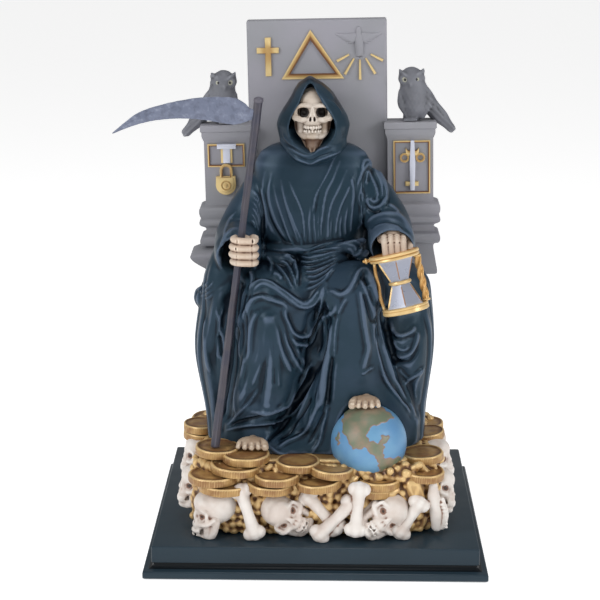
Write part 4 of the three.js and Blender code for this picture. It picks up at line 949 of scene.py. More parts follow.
        ([(16.9, 124.6), (19.9, 123.3), (20.8, 120.6)], 0.7, 0.8),
    ],
    "leftSleeve": [
        ([(-37.1, 158.4), (-34.1, 154.4), (-31.9, 148.7), (-31.1, 143.2)], 0.7, 1),
        ([(-36.9, 155.3), (-34.3, 151.5), (-32.6, 146), (-31.7, 140.8)], 0.7, 1),
        ([(-37.1, 152.2), (-35, 148.7), (-33.5, 143.7), (-32.6, 138.2)], 0.7, 1),
        ([(-37.5, 148.9), (-35.4, 145.4), (-34.1, 141.2), (-33.3, 136)], 0.7, 1),
        ([(-38, 145.4), (-36.1, 142.3), (-34.8, 138.2), (-33.9, 133.2)], 0.7, 0.9),
        ([(-38.2, 141.8), (-36.5, 139), (-35.5, 135.4)], 0.7, 0.9),
        ([(-33.2, 161.9), (-31.3, 156.4), (-29.3, 148.7), (-28.7, 141), (-28.9, 134.4)], 1, 1.2),
        ([(-28.9, 134.4), (-30.3, 129.9), (-31.2, 124.3), (-31.3, 117.6)], 0.9, 1.1),
        ([(-46.9, 145.3), (-50.2, 140.9), (-52.6, 135.3), (-53.3, 129.8)], 1, 1.1),
        ([(-44.1, 136.4), (-48.8, 135.2), (-51.8, 132.2), (-54.2, 128), (-56, 121.3), (-56.4, 116.5),
          (-55.5, 112.9)], 1.2, 1.3),
    ],
    "rightSleeve": [
        ([(23.8, 167.1), (25.5, 173), (26.9, 175.9), (30.1, 175.4), (33.6, 170.7), (36.6, 164.2), (38.7, 157.7),
          (38.5, 153), (35.6, 151.2)], 1.0, 1.1),
        ([(22.4, 157.6), (23.2, 163.6), (24.9, 168.3), (27.2, 172.4), (28.9, 173.6), (31.9, 170.7), (34.8, 165.4),
          (36.6, 159.5), (36.7, 154.8), (34.4, 152.4)], 1.0, 1.0),
        ([(26.8, 159.4), (27.6, 164.8), (28.4, 169.5), (30.5, 166), (33.1, 160.7), (34.4, 155.9),
          (33.3, 152.4)], 0.9, 0.9),
        ([(29.1, 155.3), (28.6, 152.4), (29.8, 149.4), (32.7, 148.2), (36.2, 149.4), (38.2, 152.4),
          (38.4, 156)], 1.4, 1.5),
        ([(30.6, 154.7), (30.9, 152.7), (32.7, 151.8), (34.1, 153), (33.5, 155)], 1.0, 1.1),
        ([(26.6, 175.9), (31.8, 173), (35.9, 167.8), (38.9, 161.3), (39.6, 154.2), (38.5, 149.4)], 1.0, 1.0),
        ([(27.4, 151.8), (29.2, 148.2), (32.8, 146.1), (36.8, 147.6)], 1.4, -1.2),
        ([(19.2, 165.9), (20.4, 157.6), (19.3, 148.1)], 1.0, 0.9),
        ([(24.4, 159.4), (25.7, 151.7), (24.6, 142.8), (25.3, 138)], 1.0, 1.0),
        ([(28.8, 137.5), (31.1, 141.7), (35.7, 144.1), (41.5, 145), (46.2, 144.1), (49.7, 141.2), (53.3, 135.8),
          (56.4, 130.4)], 1.5, 1.2),
        ([(29.4, 134.5), (32.3, 138.7), (37.5, 140.8), (42.8, 140.5), (47.4, 138.8), (52.2, 134)], 1.3, -1.0),
        ([(40.3, 150.6), (43.8, 148.3), (46.8, 144.7)], 1.2, 1.0),
    ],
    "hood": [
        ([(4.5, 211.5), (8.1, 209), (10.6, 206.5), (12.5, 204), (13.4, 202.2)], 0.7, 0.6),
        ([(12.2, 193.9), (12.9, 191.7), (13.8, 189.5)], 0.6, 0.5),
        ([(-0.9, 220.1), (3.4, 217.3), (7, 213.7), (8.8, 210.1)], 1.3, 0.5),
        ([(-19.7, 193), (-18.8, 189.4), (-16.3, 186.1), (-12.3, 183.2), (-8, 180.3), (-4.3, 179.2),
          (-1.5, 180.7)], 0.8, 0.9),
        ([(-18.8, 184.6), (-15.6, 182.4), (-11.2, 179.9), (-7.2, 178.3), (-2.9, 178.5), (0.7, 181.4), (5, 183.3),
          (11.5, 184)], 0.8, 0.9),
        ([(-16.6, 181.7), (-11.9, 178.4), (-7.2, 176.5), (-2.9, 176.3), (1.4, 178.5), (6.9, 180.4),
          (11.5, 182.6)], 0.9, -0.9),
        ([(-15.6, 178.4), (-11.9, 176.6), (-7.2, 174.8), (-3.6, 174.1), (1.5, 176.3), (7.2, 178.5), (11.9, 180.8),
          (13.7, 184.4)], 0.9, 1.0),
    ],
    "lump": [
        ([(-69.5, 99.2), (-66.3, 101.4), (-62.7, 104.1)], 0.7, 0.8),
        ([(-68.4, 97.1), (-64.8, 99.3), (-61.6, 102), (-60.1, 104.1)], 0.7, 0.8),
        ([(-67.4, 95.5), (-63.8, 97.1), (-61.2, 99.3)], 0.7, 0.8),
        ([(-65.9, 93.9), (-62.8, 95), (-60.1, 97.2)], 0.7, 0.8),
    ],
}


def formHeight(x, z):
    total = 0.0
    for path, width, height in skirtForms:
        nearest = 1e9
        for (ax, az), (bx, bz) in zip(path, path[1:]):
            dx, dz = bx - ax, bz - az
            f = min(max(((x - ax) * dx + (z - az) * dz) / (dx * dx + dz * dz), 0.0), 1.0)
            nearest = min(nearest, (x - ax - f * dx) ** 2 + (z - az - f * dz) ** 2)
        if nearest < 9 * width * width:
            total += height * math.exp(-nearest / (width * width))
    return total


def skirtReach(x, z):
    reach = 37
    for place, width, rise, least, low, high in robeSizes["knees"]:
        reach += rise * bell(x - place, width) * mix(least, 1, ease(low, high, z))
    hem = 3 * (1 - ease(0, 16, z))
    hourglassRoom = 9 * ease(32, 42, x) * ease(66, 84, z)
    return reach + hem + formHeight(x, z) - hourglassRoom


def skirtPoint(evenAngle, share):
    wallShare = robeSizes["wallShare"]
    angle = evenAngle - 0.45 * math.sin(evenAngle)
    lapAngle = (max(share - wallShare, 0) / (1 - wallShare)) * math.pi / 2 * 0.94
    close = rounded(math.cos(lapAngle), 0.5)
    z = min(share / wallShare, 1) * robeSizes["wallHeight"] + robeSizes["lapRise"] * rounded(math.sin(lapAngle), 0.6)
    side = math.sin(angle)
    wide = 66 + 7.5 * bell(z - 58, 34) if side < 0 else 65 + 5 * bell(z - 62, 34)
    x = rounded(side, 2 / 2.6) * wide * close
    depth = rounded(math.cos(angle), 2 / 2.6)
    y = -8 - (skirtReach(x, z) if depth > 0 else 24) * depth * close
    knee = 6 * bell(x - 21, 14) * bell(y + 48, 22) * math.sin(lapAngle)
    return Vector((x, y, z + knee))


def torsoPoint(angle, share):
    widths = [[92, 30], [112, 30], [117, 31], [122, 30], [138, 33], [154, 35], [167, 34.5], [173.5, 31], [177.5, 24.5],
              [180.5, 14]]
    depths = [[92, 16], [112, 20], [117, 21.5], [122, 20], [138, 19.5], [154, 17.5], [167, 14.5], [175, 11.5],
              [180.5, 7]]
    z = mix(widths[0][0], widths[-1][0], 1 - (1 - share) ** 1.5)      # rows lie closer towards the shoulders
    x = -3 + rounded(math.sin(angle), 0.85) * stepped(widths, z)
    return Vector((x, -2 - rounded(math.cos(angle), 0.85) * (stepped(depths, z) + 0.6), z))


def mantlePoint(angle, share):
    wide = along([64, 58, 53, 49, 46, 42, 37, 28, 16], share)
    x = -1 + rounded(math.sin(angle), 0.7) * wide
    return Vector((x, 4 - rounded(math.cos(angle), 0.7) * mix(14, 9, share), mix(80, 174, share)))


def seenFromFront(co, sizes):
    # where each point falls on the plane that the folds are drawn on
    vx, vy, vz = sizes["drawnFrom"]
    t = (sizes["drawnAt"] - vy) / (co[:, 1] - vy)
    away = np.array([vx, vy, vz]) - co
    away /= np.linalg.norm(away, axis=1)[:, None]
    return vx + (co[:, 0] - vx) * t, vz + (co[:, 2] - vz) * t, away


def pressFolds(piece, sizes, groups, power=1.0):
    # gives the points in height above the bed, their normals and the height of the folds there
    co = readPoints(piece)
    co[:, 2] -= bed
    writePoints(piece, co)
    co, normals = readPoints(piece), readNormals(piece)
    x, z, away = seenFromFront(co, sizes)
    facing = ease(0.02, 0.4, (normals * away).sum(axis=1))
    strokes = []
    for name in groups:
        height, width, runOut = sizes["softer"].get(name, (1.0, 1.0, 0.16))
        for path, wide, high in robeFolds[name]:
            strokes.append((path, wide * width * sizes["foldWidth"], high * height, runOut))
    depth = foldHeight(x, z, strokes) * facing * power
    return co, normals, depth


def buildRobe(sizes):
    bm = bmesh.new()
    tube(bm, 150, 66, skirtPoint)
    tube(bm, 90, 50, torsoPoint)
    tube(bm, 72, 30, mantlePoint)
    limb(bm, [(-17, 1, 160), (-34, 0, 147), (-46.5, -8, 125), (-46.5, -30, 119)], [9, 13, 13.6, 14], 40, 34)
    limb(bm, [(14, 1, 162), (29, -1, 150), (41, -12, 134), (43.4, -34, 125)], [9, 13, 13, 13.6], 40, 34)
    limb(bm, [(-50, -20, 118), (-55, -22, 100), (-58, -20, 78)], [11, 12, 11], 32, 20)
    ball(bm, (-67, -14, 87), (7, 8, 7.5))
    # belt knot and its loose end
    ball(bm, (20, -24, 119.5), (5.2, 3.6, 3.4), (0, 15, 0))
    limb(bm, [(16, -25, 119), (10, -26.5, 120), (4, -25, 119), (6, -25.5, 116), (14, -26, 117)],
         [1.8, 2, 1.6, 1.6, 1.6], 12, 18)
    limb(bm, [(22, -25, 118), (26, -24, 116), (29, -22, 117)], [2.6, 3.2, 2.2], 12, 10)
    limb(bm, [(-33, -12, 118), (-20, -21.5, 118.5), (0, -23.4, 119), (18, -23.6, 121.5), (27, -18, 123)],
         [1.8, 2.2, 2.6, 2.8, 2.2], 14, 40, up)
    # gathered cloth between the belt and the lap
    ball(bm, (4, -24, 109), (15, 10, 11.5), (0, -14, 0), detail=4)
    limb(bm, [(-31, -18, 112), (-22, -24, 110), (-14, -28, 105)], [5, 6, 5], 24, 18)
    hollows = bmesh.new()
    limb(hollows, [(-46.4, -24, 121), (-46, -46, 115)], [9.5, 13], 32, 12)
    limb(hollows, [(43, -24, 128), (43.6, -50, 120)], [9, 13.4], 32, 12)
    limb(hollows, [(-50, -38, 116), (-52.5, -41, 100), (-53, -42, 84)], [7.5, 6.4, 3.0], 24, 16)
    ball(hollows, (31, -60, 6), (24.5, 24, 37), detail=4)
    ball(hollows, (-38, -58, 3), (14, 14, 14))
    ontoBed(bm, hollows)
    piece = carve(bm, "robeCloth", sizes["voxel"], hollows, 3)

    co, normals, depth = pressFolds(piece, sizes, [n for n in robeFolds if n != "hood"], sizes["foldPower"])
    aside = np.abs(normals[:, 0])
    behind = ease(0.3, 0.8, normals[:, 1])
    low = ease(118, 96, co[:, 2])
    sway = co[:, 2] * 0.012
    waves = np.sin(co[:, 1] * 0.62 + 1.8 * np.sin(sway * 2) + 1.0) + 0.5 * np.sin(co[:, 1] * 1.37 + sway * 3)
    depth += sizes["sideFold"] * waves * ease(0.45, 0.9, aside) * low
    waves = np.sin(co[:, 0] * 0.46 + sway * 4) + 0.5 * np.sin(co[:, 0] * 0.93 - sway * 5)
    depth += sizes["backFold"] * waves * behind
    co = co + normals * depth[:, None]
    co[:, 2] = np.maximum(co[:, 2] + bed, bed + 0.3)
    writePoints(piece, co)
    relax(piece, 1, 0.4)
    rise = co[:, 2] - bed
    # painted shade under the left sleeve and a lighter tone over the chest, partly painted highlight, added to the
    # relief layer
    shade = sizes["underSleeveShade"] * bell(co[:, 0] + 50, 7) * bell(rise - 98, 16)
    shade += sizes["chestBrushAndHighlight"] * ease(122, 132, rise) * ease(184, 172, rise)
    markRelief(piece, 3, 32, extra=shade, sharp=3.4, soft=0.36)
    thinOut(piece, sizes["keep"])
    dress(piece, robePaint, "robe", "figure")


buildRobe(robeSizes)
print("stage: robe")


# hood

hoodSizes = {
    "voxel": 0.62,
    "thickness": 2.4,
    "foot": 158,            # heights above the bed
    "peak": 217.6,
    "middle": (-3.4, 193),
    "rimDraw": (0.66, 0.93, 0.74),      # how much the mouth narrows inwards: sideways, above and below the middle
    "keep": 0.75,
}


def hoodPoint(angle, share, thin=0.0):
    widths = [[158, 9], [166, 14], [172, 16.4], [181, 19.8], [190, 21.7], [195, 20.2], [200.6, 16.8], [205, 14],
              [210, 11], [214, 7.2], [217.6, 1.4]]
    z = mix(hoodSizes["foot"], hoodSizes["peak"] - thin * 1.6, share)
    width = max(stepped(widths, z) - thin, 0.6)
    depth = mix(width, 20.6 - thin, 0.66) * (1 - 0.5 * ease(0.9, 1.0, share)) - 5 * ease(172, 164, z)
    return Vector((-3 - 2.0 * ease(206, 217, z) + width * math.sin(angle), -2 - depth * math.cos(angle), z))


def buildHood(sizes):
    bm = bmesh.new()
    tube(bm, 80, 70, hoodPoint)
    limb(bm, [(-20.5, -8, 181), (-14, -17, 175.6), (-4, -20.6, 172.2), (7, -17.5, 175.6), (14.6, -8, 181.5)],
         [2.4, 3.0, 3.2, 3.0, 2.4], 20, 40, up)
    limb(bm, [(-19, -9, 177.4), (-12.6, -17.4, 172.8), (-3, -19.8, 171.0), (8, -17.4, 173.4), (15, -8, 179)],
         [1.8, 1.8, 1.6, 1.8, 2.0], 20, 40, up)
    edge = [(-5.0, 216.6), (-7.8, 214.2), (-10.2, 209.6), (-12.6, 203.8), (-15.8, 199.4), (-18.4, 195), (-19.8, 190.6),
            (-19.9, 186.6), (-18.6, 183), (-15.6, 180), (-10.4, 177.2), (-3.6, 174.4), (3.0, 177.4), (8.6, 181),
            (11.6, 185.2), (12.4, 190), (11.4, 194.4), (9.4, 197.6), (5.8, 201.8), (1.9, 207.0), (-1.0, 212.0),
            (-3.0, 215.4)]
    opening = bmesh.new()
    plate(opening, edge, 20, 0)
    moved(opening, opening.verts, Matrix.Translation((0, -6, 0)))
    middle, height = sizes["middle"]
    sideways, above, below = sizes["rimDraw"]
    for v in opening.verts:
        if v.co.y > -10:
            v.co.x = middle + (v.co.x - middle) * sideways
            v.co.z = height + (v.co.z - height) * (above if v.co.z > height else below)
    tube(opening, 60, 40, lambda angle, share: hoodPoint(angle, mix(0.55, 0.95, share), sizes["thickness"]))
    ontoBed(bm, opening)
    piece = carve(bm, "hoodCloth", sizes["voxel"], opening, 3)
    co, normals, depth = pressFolds(piece, robeSizes, ["hood"])
    co = co + normals * depth[:, None]
    co[:, 2] += bed
    writePoints(piece, co)
    relax(piece, 1, 0.4)
    # painted shade inside the mouth of the hood, on the surfaces facing forward
    inside = ease(-13, -7, co[:, 1]) * ease(-4, 2, -np.abs(co[:, 0] + 3.4) + 16) * ease(190, 194, co[:, 2] - bed)
    markRelief(piece, 2, 10, extra=-0.5 * inside * (normals[:, 1] < 0), sharp=2.8, soft=0.5)
    thinOut(piece, sizes["keep"])
    dress(piece, robePaint, "robe", "figure")


buildHood(hoodSizes)
print("stage: hood")


# skull face and neck, about the middle of the head

skullSizes = {
    "place": (-3.3, -7.2, 197.3),       # above the bed
    "size": 1.0,
    "voxel": 0.32,
    "toothHeight": 2.2,
    "toothWidth": 1.3,
    "keep": 0.6,
}


def skullForms(bm, fine=True):
    # the plain skulls of the mound have thinner brows and cheeks, sunk into the face
    detail, rim, sunk = (4, 1.0, 0.0) if fine else (3, 0.75, 2.2)
    ball(bm, (0, 2.4, 4.4), (10.2, 12, 10.4), detail=detail)
    ball(bm, (0, -3.6, 6.8), (8.0, 6.4, 6.8), detail=detail)
    ball(bm, (0, -2.6, -1.4), (9.4, 7.0, 6.4), detail=detail)
    ball(bm, (0, -8.0, -3.9), (5.3, 4.6, 3.4), detail=detail)
    ball(bm, (0, -7.6, -10.4), (5.4, 3.9, 1.9), detail=detail)
    for way in (-1, 1):
        def at(x, y, z):
            return (way * x, y + sunk, z)

        brow = [at(8.8, -7.4, 3.9), at(5.4, -9.7, 5.7), at(0.2, -9.8, 4.9)]
        limb(bm, brow, [1.3 * rim, 1.4 * rim, 1.3 * rim], 14, 14)
        cheek = [at(2.4, -11.2, -2.2), at(6.4, -11.0, -2.4), at(10.0, -8.4, -1.6), (way * 10.6, -2, 0)]
        limb(bm, cheek, [1.0 * rim, 1.9 * rim, 2.0 * rim, 1.8 * rim], 14, 20)
        outerRim = [at(9.2, -7.6, 4.4), at(9.8, -7.8, 2.0), at(9.7, -8.2, -0.8)]
        limb(bm, outerRim, [1.3 * rim, 1.4 * rim, 1.5 * rim], 12, 12)
        jaw = [(way * 8.8, -1, -2), (way * 8.0, -3.4, -8.6), (way * 5.4, -7.6, -12.4), (0, -9.6, -13.2)]
        limb(bm, jaw, [2.6, 2.3, 1.9, 2.0], 14, 24)
        limb(bm, [(way * 7.4, -5.2, -2), (way * 6.9, -6.6, -9.6)], [2.2, 2.0], 14, 10)
        noseSide = [at(0.3, -11.6, 4.0), at(0.9, -12.9, 0.8), at(2.5, -12.0, -3.2)]
        limb(bm, noseSide, [0.7, 0.7, 0.6], 10, 12)
    limb(bm, [(0, -11.0 + sunk, 4.6), (0, -12.6 + sunk, 1.8), (0, -12.8 + sunk, -3.0)], [0.9, 0.7, 0.5], 10, 12)
    ball(bm, (0, -10.4, -12.4), (3.6, 2.4, 2.2), detail=3)


def skullHollows(bm, wide=1.0):
    for way in (-1, 1):
        ball(bm, (way * 5.4, -11.6, 1.6), (3.0 * wide, 5.2, 2.8 * wide), (0, way * 3, 0))
        limb(bm, [(way * 0.7, -13.6, -0.4), (way * 1.3, -13.2, -2.7)], [0.35, 0.8], 10, 10, flat=2.2)
        ball(bm, (way * 9.8, -10.6, -6.4), (2.6, 3.0, 3.2))
    limb(bm, [(-5.0, -10.2, -8.2), (0, -13.6, -8.2), (5.0, -10.2, -8.2)], [0.28, 0.34, 0.28], 10, 16)


def teeth(bm, sizes):
    for row, z, count in ((0, -6.9, 8), (1, -9.2, 7)):
        for i in range(count):
            turn = math.radians(mix(-66, 66, i / (count - 1)))
            place = Vector((5.0 * math.sin(turn), -8.0 - 5.2 * math.cos(turn), z))
            radii = (sizes["toothWidth"] * 0.5, 0.8, sizes["toothHeight"] * 0.56 * (1 - 0.25 * row))
            ball(bm, place, radii, (0, 0, math.degrees(turn)), 2)


def skullPits(co, wide=1.0):
    # how deep each point lies in the sockets, the nose, the cheeks and behind the teeth, for painted shade there
    pits = np.zeros(len(co))
    for way in (-1, 1):
        for centre, radii, weight in (((way * 5.4, -8.6, 1.6), (3.1 * wide, 3.2, 2.9 * wide), 1.4),
                                      ((way * 1.3, -12.0, -1.6), (0.7, 1.6, 1.8), 0.6),
                                      ((way * 9.6, -7.4, -6.4), (3.2, 4.4, 4.0), 0.16)):
            away = np.sqrt((((co - np.array(centre)) / np.array(radii)) ** 2).sum(axis=1))
            pits += weight * ease(1.2, 0.9, away)
    return pits + 0.5 * ease(-11.4, -10.8, co[:, 1]) * bell(co[:, 2] + 8.1, 0.5) * ease(5.2, 4.6, np.abs(co[:, 0]))


def buildSkullFace(sizes):
    bm, hollows = bmesh.new(), bmesh.new()
    skullForms(bm)
    teeth(bm, sizes)
    limb(bm, [(-0.8, 6, -29), (-0.6, -2, -21), (-0.2, -3, -12)], [5.4, 5.2, 5.6], 24, 20)
    limb(bm, [(-0.2, -10.4, -22.5), (0, -9.4, -18), (0.3, -6.4, -13.5)], [1.4, 3.4, 5.4], 24, 20)
    # cords of the neck
    for x, y in ((-4.6, -6.0), (-1.7, -9.2), (1.7, -9.2), (4.6, -6.0)):
        limb(bm, [(x * 0.45, y - 3.2, -21.4), (x * 0.8, y - 2.2, -18), (x * 1.3, y + 0.4, -13.6)],
             [0.7, 0.9, 1.0], 10, 14)
    skullHollows(hollows)
    place = Vector(sizes["place"]) + Vector((0, 0, bed))
    for bunch in (bm, hollows):
        moved(bunch, bunch.verts, Matrix.LocRotScale(place, None, Vector((sizes["size"],) * 3)))
    piece = carve(bm, "skullFace", sizes["voxel"], hollows, 1)
    co = (readPoints(piece) - np.array(place)) / sizes["size"]
    # painted shade in the sockets, nose, cheek hollows and the gap behind the teeth, on the neck under the jaw and on
    # the sides of the jaw
    neck = 0.28 * ease(-13.6, -15.0, co[:, 2] + 0.25 * (co[:, 1] + 8))
    sides = 0.12 * ease(6.5, 9.5, np.abs(co[:, 0])) * ease(-3, -6, co[:, 2])
    markRelief(piece, 3, 16, extra=-skullPits(co) - neck - sides)
    thinOut(piece, sizes["keep"])
    dress(piece, skullPaint, "robe", "figure")


buildSkullFace(skullSizes)
print("stage: skull face")


# hands

handSizes = {
    "voxel": 0.36,
    "fingerStep": 4.4,
    "toeSize": 1.8,
    "keep": 0.65,
}


def buildLeftHand(sizes):
    # four fingers round the shaft, the thumb over them at the right
    bm, creases = bmesh.new(), bmesh.new()
    ball(bm, (-42.5, -36.6, 122.5), (6.8, 4.4, 8.0))
    for i in range(4):
        z = 115.6 + sizes["fingerStep"] * i
        inset = (0.6, 0, 0.2, 1.0)[i]
        path = [(-48.2 + inset, -36.5, z), (-49.2 + inset, -42.0, z + 0.1), (-46.2 + inset, -45.6, z),
                (-41, -45.9, z - 0.2), (-36.8 - inset * 0.3, -44.4, z - 0.4), (-35.6 - inset * 0.3, -41.2, z - 0.5),
                (-36.4, -37, z - 0.5)]
        limb(bm, path, [1.9, 2.2, 2.1, 2.05, 2.2, 2.1, 1.7], 18, 40, up, flat=0.94)
        for x, y in ((-37.8 + 0.4 * (i % 2), -46.3), (-46.8 + 0.5 * (i % 2), -47.2)):
            ball(creases, (x + inset * 0.3, y, z - 0.2), (0.42, 1.7, 2.0), detail=2)
        limb(creases, [(-48, -44.6, z - 2.2), (-44, -47.6, z - 2.3), (-37, -46, z - 2.5)], [0.32, 0.36, 0.3], 8, 12)
    limb(bm, [(-37.4, -35, 128.4), (-35.6, -39.6, 129.0), (-36.2, -43.0, 128.2), (-39.0, -44.6, 127.2)],
         [2.0, 1.9, 1.8, 1.4], 18, 20)
    limb(bm, [(-47, -14, 123), (-45, -26, 122.5), (-43, -36, 122)], [6, 5, 4.8], 24, 16)
    ontoBed(bm, creases)
    piece = carve(bm, "leftHand", sizes["voxel"], creases, 1)
    co = readPoints(piece)
    # painted shade in lines along the finger joints at the front of the fist
    joints = 0.18 * bell(co[:, 0] + 37.5, 0.45) + 0.1 * bell(co[:, 0] + 46.4, 0.4)
    markRelief(piece, 3, 10, extra=-joints * (co[:, 1] < -43), sharp=3.6, soft=0.7)
    thinOut(piece, sizes["keep"])
    dress(piece, handPaint, "robe", "figure")


def buildRightHand(sizes):
    # fingers hang from the knuckles over the top of the hourglass
    bm, creases = bmesh.new(), bmesh.new()
    limb(bm, [(41, -14, 127), (42.8, -28, 129.4), (43.6, -37, 129.6)], [6, 6.4, 5.2], 24, 16)
    limb(bm, [(37.6, -36, 128.4), (43.6, -38, 130.4), (50.0, -36, 128)], [3.2, 4.4, 3.4], 20, 18)
    for i in range(4):
        x = 38.6 + 3.55 * i
        fall = (0.6, 0, 0, 0.8)[i]
        path = [(x, -35, 131.2 - fall), (x, -41.5, 131.0 - fall), (x, -45.6, 129.4 - fall), (x + 0.2, -47.8, 126),
                (x + 0.6, -49.6, 120.8 + fall * 0.6)]
        limb(bm, path, [1.5, 1.85, 1.9, 1.75, 1.65], 18, 36, Vector((1, 0, 0)), flat=1.05)
        ball(bm, (x, -42.6, 131.0 - fall), (1.5, 1.9, 1.4), detail=3)
        ball(creases, (x + 0.2, -47.6, 128.6 - fall), (2.0, 1.6, 0.32), (25, 0, 0), detail=2)
        ball(creases, (x, -44.4, 131.8 - fall), (2.0, 0.3, 1.2), (-30, 0, 0), detail=2)
        if i < 3:
            limb(creases, [(x + 1.8, -39, 132.8 - fall), (x + 1.8, -45.5, 131.4 - fall), (x + 2.0, -50.2, 126),
                           (x + 2.4, -51.6, 120)], [0.3, 0.36, 0.4, 0.36], 8, 16)
    limb(bm, [(51.6, -33, 128), (53.4, -39, 125.4), (53.0, -44, 122.6)], [2.4, 2.1, 1.6], 16, 14)
    ontoBed(bm, creases)
    piece = carve(bm, "rightHand", sizes["voxel"], creases, 1)
    markRelief(piece, 3, 10, sharp=3.6, soft=0.7)
    thinOut(piece, sizes["keep"])
    dress(piece, handPaint, "robe", "figure")


def buildFoot(name, sizes, toePoint, heel, spread, bigToeSide):
    bm, gaps = bmesh.new(), bmesh.new()
    toePoint, heel = Vector(toePoint), Vector(heel)
    limb(bm, [heel, heel.lerp(toePoint, 0.6), toePoint + Vector((0, 1.5, -0.4))], [3.6, 3.8, 3.0], 28, 18)
    ball(bm, toePoint + Vector((0, 2.6, 0)), (spread * 0.53, 5.6, 3.9))
    for i in range(5):
        shift = (i / 4 - 0.5) * bigToeSide
        size = sizes["toeSize"] * (1.3 if i == 4 else 1 - 0.1 * (i == 0))
        back = 1.6 * abs(shift) * 2 - (i == 4) * 0.8
        root = toePoint + Vector((shift * spread * 0.66, 1.6 + back, 1.3))
        knuckle = toePoint + Vector((shift * spread * 0.86, -1.8 + back, 0.7))
        tip = toePoint + Vector((shift * spread * 0.94, -3.6 + back, -1.0))
        limb(bm, [root, knuckle, tip], [size * 0.9, size, size * 0.92], 18, 22)
        nail = tip.lerp(knuckle, 0.25) + Vector((0, -size * 0.66, size * 0.46))
        ball(bm, nail, (size * 0.6, size * 0.45, size * 0.36), (35, 0, 0), 2)
        crease = knuckle + Vector((0, -size * 0.4, size * 0.95))
        ball(gaps, crease, (size * 0.8, 0.3, 0.5), (0, 0, 0), 2)
        if i < 4:
            side = (shift + 0.125 * bigToeSide + 0.02) * spread
            path = [toePoint + Vector((side * 0.7, 1.0, 3.9)), toePoint + Vector((side * 0.86, -2.4, 2.4)),
                    toePoint + Vector((side * 0.94, -5.2, -0.6))]
            limb(gaps, path, [0.26, 0.36, 0.4], 8, 12)
    ontoBed(bm, gaps)
    piece = carve(bm, name, sizes["voxel"], gaps, 1)
    markRelief(piece, 3, 12, sharp=3.4, soft=0.7)
    thinOut(piece, sizes["keep"])
    dress(piece, footPaint, "robe", "figure")


buildLeftHand(handSizes)
buildRightHand(handSizes)
buildFoot("leftFoot", handSizes, (-38, -51, 7.0), (-37, -38, 6.4), 17, 1)
buildFoot("rightFoot", handSizes, (28.5, -50, 33.0), (29, -34, 35.6), 16.5, -1)
print("stage: hands and feet")


# globe

globeSizes = {
    "centre": (31.0, -46.04, 69.68),
    "radius": 22.5,
    "landRise": 0.35,
    "tilt": 15,             # degrees that the drawing's view looks down
    "landMottle": 110.0,
    "keep": 0.45,
}
# coasts as seen from the front, in shares of the radius from the middle of the disc
landOutlines = [
    [(-0.67, 0.88), (-0.2, 0.95), (0.4, 0.9), (0.62, 0.68), (0.6, 0.66), (0.19, 0.49), (0.0, 0.42), (-0.09, 0.26),
     (-0.02, 0.09), (0.23, 0.03), (0.35, 0.23), (0.51, 0.23), (0.49, 0.14), (0.37, 0.0), (0.2, -0.02), (0.06, -0.08),
     (-0.1, -0.02), (-0.2, -0.1), (-0.28, -0.12), (-0.42, -0.12), (-0.5, 0.0), (-0.56, 0.09), (-0.7, 0.37),
     (-0.67, 0.7)],
    [(0.37, 0.0), (0.35, -0.23), (0.37, -0.35), (0.6, -0.38), (0.79, -0.35), (0.86, -0.47), (0.8, -0.7), (0.6, -0.84),
     (0.44, -0.92), (0.28, -0.9), (0.26, -0.6), (0.2, -0.37), (0.05, -0.23), (-0.08, -0.1), (-0.18, -0.06),
     (-0.1, 0.1), (0.1, 0.05)],
    [(-0.86, 0.1), (-0.8, 0.3), (-0.76, 0.1), (-0.8, -0.1)],
]


def insideOutline(x, z, outline):
    inside = np.zeros(x.shape, dtype=bool)
    for (ax, az), (bx, bz) in zip(outline, outline[1:] + outline[:1]):
        crosses = (az > z) != (bz > z)
        inside ^= crosses & (x < (bx - ax) * (z - az) / (bz - az + 1e-12) + ax)
    return inside


def buildGlobe(sizes):
    bm = bmesh.new()
    ball(bm, (0, 0, 0), 1.0, detail=7)
    piece = makePiece(bm, "globeBall")
    co = readPoints(piece)
    down = math.radians(sizes["tilt"])
    depth = -co[:, 1] * math.cos(down) + co[:, 2] * math.sin(down)
    x = co[:, 0] + 0.02 * np.sin(co[:, 2] * 31) + 0.015 * np.sin(co[:, 2] * 57 + 1)
    z = co[:, 2] * math.cos(down) + co[:, 1] * math.sin(down) + 0.02 * np.sin(co[:, 0] * 29 + 2)
    land = np.zeros(len(co))
    for outline in landOutlines:
        land = np.maximum(land, insideOutline(x, z, outline) & (depth > 0))
    # the far side has a plainer land mass
    far = np.sin(co[:, 0] * 4.1 + 1.0) + np.sin(co[:, 2] * 3.7 + 2.0) + 0.5 * np.sin(co[:, 0] * 9 + co[:, 2] * 7)
    land = np.maximum(land, (far > 0.9) & (depth < -0.25))
    land = spreadOut(land.astype(float), readEdges(piece), 2)
    co = co * (sizes["radius"] + sizes["landRise"] * land[:, None]) + np.array(sizes["centre"])
    writePoints(piece, co)
    storeLayer(piece, "land", land)
    thinOut(piece, sizes["keep"])
    dress(piece, globePaint(), "globe_blue", "globe")


def ramp(tree, value, low, lowColour, high, highColour):
    node = tree.nodes.new("ShaderNodeValToRGB")
    for element, place, colour in zip(node.color_ramp.elements, (low, high), (lowColour, highColour)):
        element.position = place
        element.color = (*colour, 1)
    tree.links.new(value, node.inputs["Fac"])
    return node.outputs["Color"]


